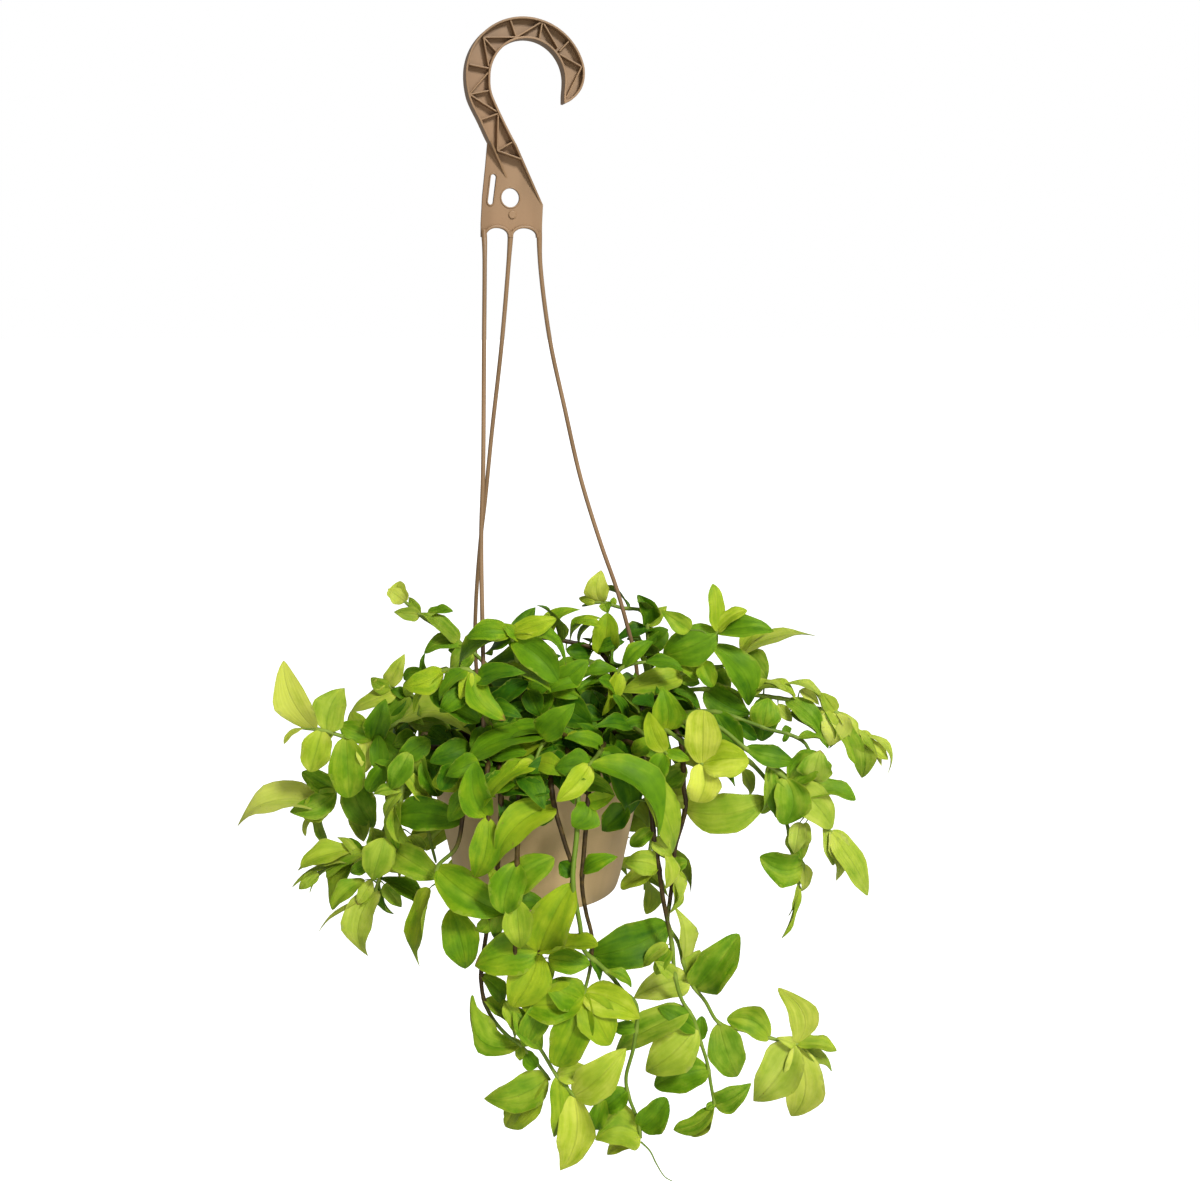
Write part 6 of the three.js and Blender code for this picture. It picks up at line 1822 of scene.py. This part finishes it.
class TRADESCANTIA_OT_soil(bpy.types.Operator):
    """Makes the bed of potting mix and the crumbs on it"""

    bl_idname = "tradescantia.soil"
    bl_label = "Make Soil"
    bl_options = {"REGISTER", "UNDO"}

    def execute(self, context):
        sizes = context.scene.soil_settings
        top, low = -sizes.below_rim / MM, SOIL_FOOT

        def inside(depth):
            return blend(MOUTH_RADIUS, BASE_RADIUS, depth / POT_HEIGHT) - SOIL_INSET

        profile = [
            (0, low), (inside(-low) - 1, low), (inside(-low), low + 1),
            *((inside(d), -d) for d in sweep(90, 18, 4)),
            (inside(-top) - 0.6, top - 3), (inside(-top) - 3, top - 0.8),
            *((r, top) for r in sweep(68, 4, 16)), (0, top),
        ]
        bed = lathe("soil_bed", profile, 96, POT_X, RIM_Z)
        crumbs = lathe("soil_top", [(0, top), *((r, top) for r in sweep(4, 72, 17))], 96, POT_X, RIM_Z)
        for made in (bed, crumbs):
            for corner in made.data.vertices:
                x, y, z = corner.co / MM
                if z > SOIL_TOP - 1.5:
                    level = (LEVEL_FROM - math.hypot(x - POT_X, y)) / LEVEL_STRETCH
                    corner.co.z += lumps(x, y) * min(1, max(0, level)) * MM
        painted(bed, finish("Potting mix", soil_finish, sizes.peat))
        bed.data.shade_smooth()
        finish_piece(bed, "soil")
        loose = finish("Crumbs", crumb_finish, sizes.peat)
        grown(crumbs, crumb_tree(), Density=sizes.density, Size=sizes.crumb, Seed=sizes.seed, Finish=loose)
        crumbs.name = "soil_crumbs"
        finish_piece(crumbs)
        return {"FINISHED"}


class TRADESCANTIA_OT_traced_shoots(bpy.types.Operator):
    """Makes the shoots that the reference view shows"""

    bl_idname = "tradescantia.traced_shoots"
    bl_label = "Make Front Shoots"
    bl_options = {"REGISTER", "UNDO"}

    def execute(self, context):
        grower = ShootGrower(context.scene.foliage_settings)
        nodes = ["shoot_" + row[0] for row in SHOOTS]
        found = [node_places(node) for node in nodes]
        lines = [
            settled_line(corners, lambda shift, row=row: traced_line(row, shift))
            for corners, row in zip(found, SHOOTS)
        ]
        more, twigs = further_leaves(lines)
        root = smoothed([seen(*spot) for spot in ROOT], TWIG_STEP)
        twigs[nodes.index("shoot_front_pale")].append(root)
        for number, (name, _, _, rows) in enumerate(SHOOTS):
            line, corners = lines[number], found[number]
            leaves = [
                settled_leaf(corners, lambda swing, size, row=row: traced_leaf(line, row, swing, size))
                for row in rows
            ]
            leaves += more[number]
            if name not in BARE_IN_THE_CROWN:
                leaves += crown_leaves(line, leaves, number)
            woody, faded = WOODY_REACH.get(name, USUAL_WOODY), FADED.get(name, 0)
            grower.grow(nodes[number], line, leaves, twigs[number], woody, faded, number)
        return {"FINISHED"}


class TRADESCANTIA_OT_back_shoots(bpy.types.Operator):
    """Makes the shoots over the back of the rim"""

    bl_idname = "tradescantia.back_shoots"
    bl_label = "Make Back Shoots"
    bl_options = {"REGISTER", "UNDO"}

    def execute(self, context):
        grower = ShootGrower(context.scene.foliage_settings)
        for k in range(1, BACK_COUNT + 1):
            node = f"shoot_back_{k:02d}"
            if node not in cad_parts:
                continue
            corners = node_places(node)
            line = settled_line(corners, lambda shift: back_line(k, shift))
            count = int((line.length - BACK_START) // BACK_SPACING) + 1
            leaves = [
                settled_leaf(corners, lambda swing, size, j=j: back_leaf(line, k, j, swing, size))
                for j in range(count)
            ]
            number = BACK_NUMBER + k
            leaves += crown_leaves(line, leaves, number)
            grower.grow(node, line, leaves, [], USUAL_WOODY, BACK_FADED, number)
        return {"FINISHED"}


FLOOR_REACH = 60000
LAMP_AIM = Vector((0.0, 0.0, -0.40))
LAMPS = {"key": ((1.0, -1.5, 1.0), 0.45), "fill": ((0.5, -2.0, -0.9), 1.2)}  # place and size, in metres


class TRADESCANTIA_OT_studio(bpy.types.Operator):
    """Makes the floor, the lights and the camera"""

    bl_idname = "tradescantia.studio"
    bl_label = "Make Studio"
    bl_options = {"REGISTER", "UNDO"}

    def execute(self, context):
        scene = context.scene
        settings = scene.studio_settings
        corners = [(x * FLOOR_REACH, y * FLOOR_REACH, 0) for x, y in ((-1, -1), (1, -1), (1, 1), (-1, 1))]
        floor = mesh_object("floor", corners, [(0, 1, 2, 3)])
        floor.location.z = -settings.floor
        floor.visible_diffuse = False
        floor.visible_glossy = False
        painted(floor, finish("White paper", floor_finish))

        world = bpy.data.worlds.new("Plain room")
        world.use_nodes = True
        world.node_tree.nodes.clear()
        bench = Bench(world.node_tree)
        direct = bench.add("ShaderNodeLightPath")
        strength = direct + (1 - direct) * settings.sky
        room = bench.add("ShaderNodeBackground", links={"Color": (1, 1, 1, 1), "Strength": strength})
        bench.add("ShaderNodeOutputWorld", links={"Surface": room})
        scene.world = world

        for name, (place, size) in LAMPS.items():
            lamp = bpy.data.lights.new(name, "AREA")
            lamp.size = size
            lamp.energy = getattr(settings, name)
            made = bpy.data.objects.new(name, lamp)
            made.location = place
            made.rotation_euler = (LAMP_AIM - Vector(place)).to_track_quat("-Z", "Y").to_euler()
            scene.collection.objects.link(made)

        view = bpy.data.cameras.new("view")
        view.lens = VIEW_FOCAL / VIEW_SIZE * view.sensor_width
        view.clip_end = 200
        eye = bpy.data.objects.new("view", view)
        eye.location = VIEW_PLACE * MM
        eye.rotation_euler = (math.pi / 2 - VIEW_TILT, 0, 0)
        scene.collection.objects.link(eye)
        scene.camera = eye
        scene.view_settings.view_transform = "Standard"
        return {"FINISHED"}


# ---------------- add-on

STEPS = ("hanger", "pot", "soil", "traced_shoots", "back_shoots", "studio")


class VIEW3D_PT_tradescantia(bpy.types.Panel):
    """Makes each part of the hanging plant"""

    bl_label = "Hanging Tradescantia"
    bl_space_type = "VIEW_3D"
    bl_region_type = "UI"
    bl_category = "Tradescantia"

    def draw(self, context):
        for step in STEPS:
            self.layout.operator("tradescantia." + step)
        for name in SETTINGS:
            group = getattr(context.scene, name)
            box = self.layout.box()
            for key in group.bl_rna.properties.keys():
                if key not in {"rna_type", "name"}:
                    box.prop(group, key)


SETTINGS = {
    "hanger_settings": HangerSettings,
    "pot_settings": PotSettings,
    "soil_settings": SoilSettings,
    "foliage_settings": FoliageSettings,
    "studio_settings": StudioSettings,
}
CLASSES = (
    *SETTINGS.values(),
    TRADESCANTIA_OT_hanger,
    TRADESCANTIA_OT_pot,
    TRADESCANTIA_OT_soil,
    TRADESCANTIA_OT_traced_shoots,
    TRADESCANTIA_OT_back_shoots,
    TRADESCANTIA_OT_studio,
    VIEW3D_PT_tradescantia,
)


def register():
    for cls in CLASSES:
        bpy.utils.register_class(cls)
    for name, group in SETTINGS.items():
        setattr(bpy.types.Scene, name, PointerProperty(type=group))


def unregister():
    for name in SETTINGS:
        delattr(bpy.types.Scene, name)
    for cls in reversed(CLASSES):
        bpy.utils.unregister_class(cls)


def main():
    register()
    for step in STEPS:
        getattr(bpy.ops.tradescantia, step)()


if __name__ == "__main__":
    main()
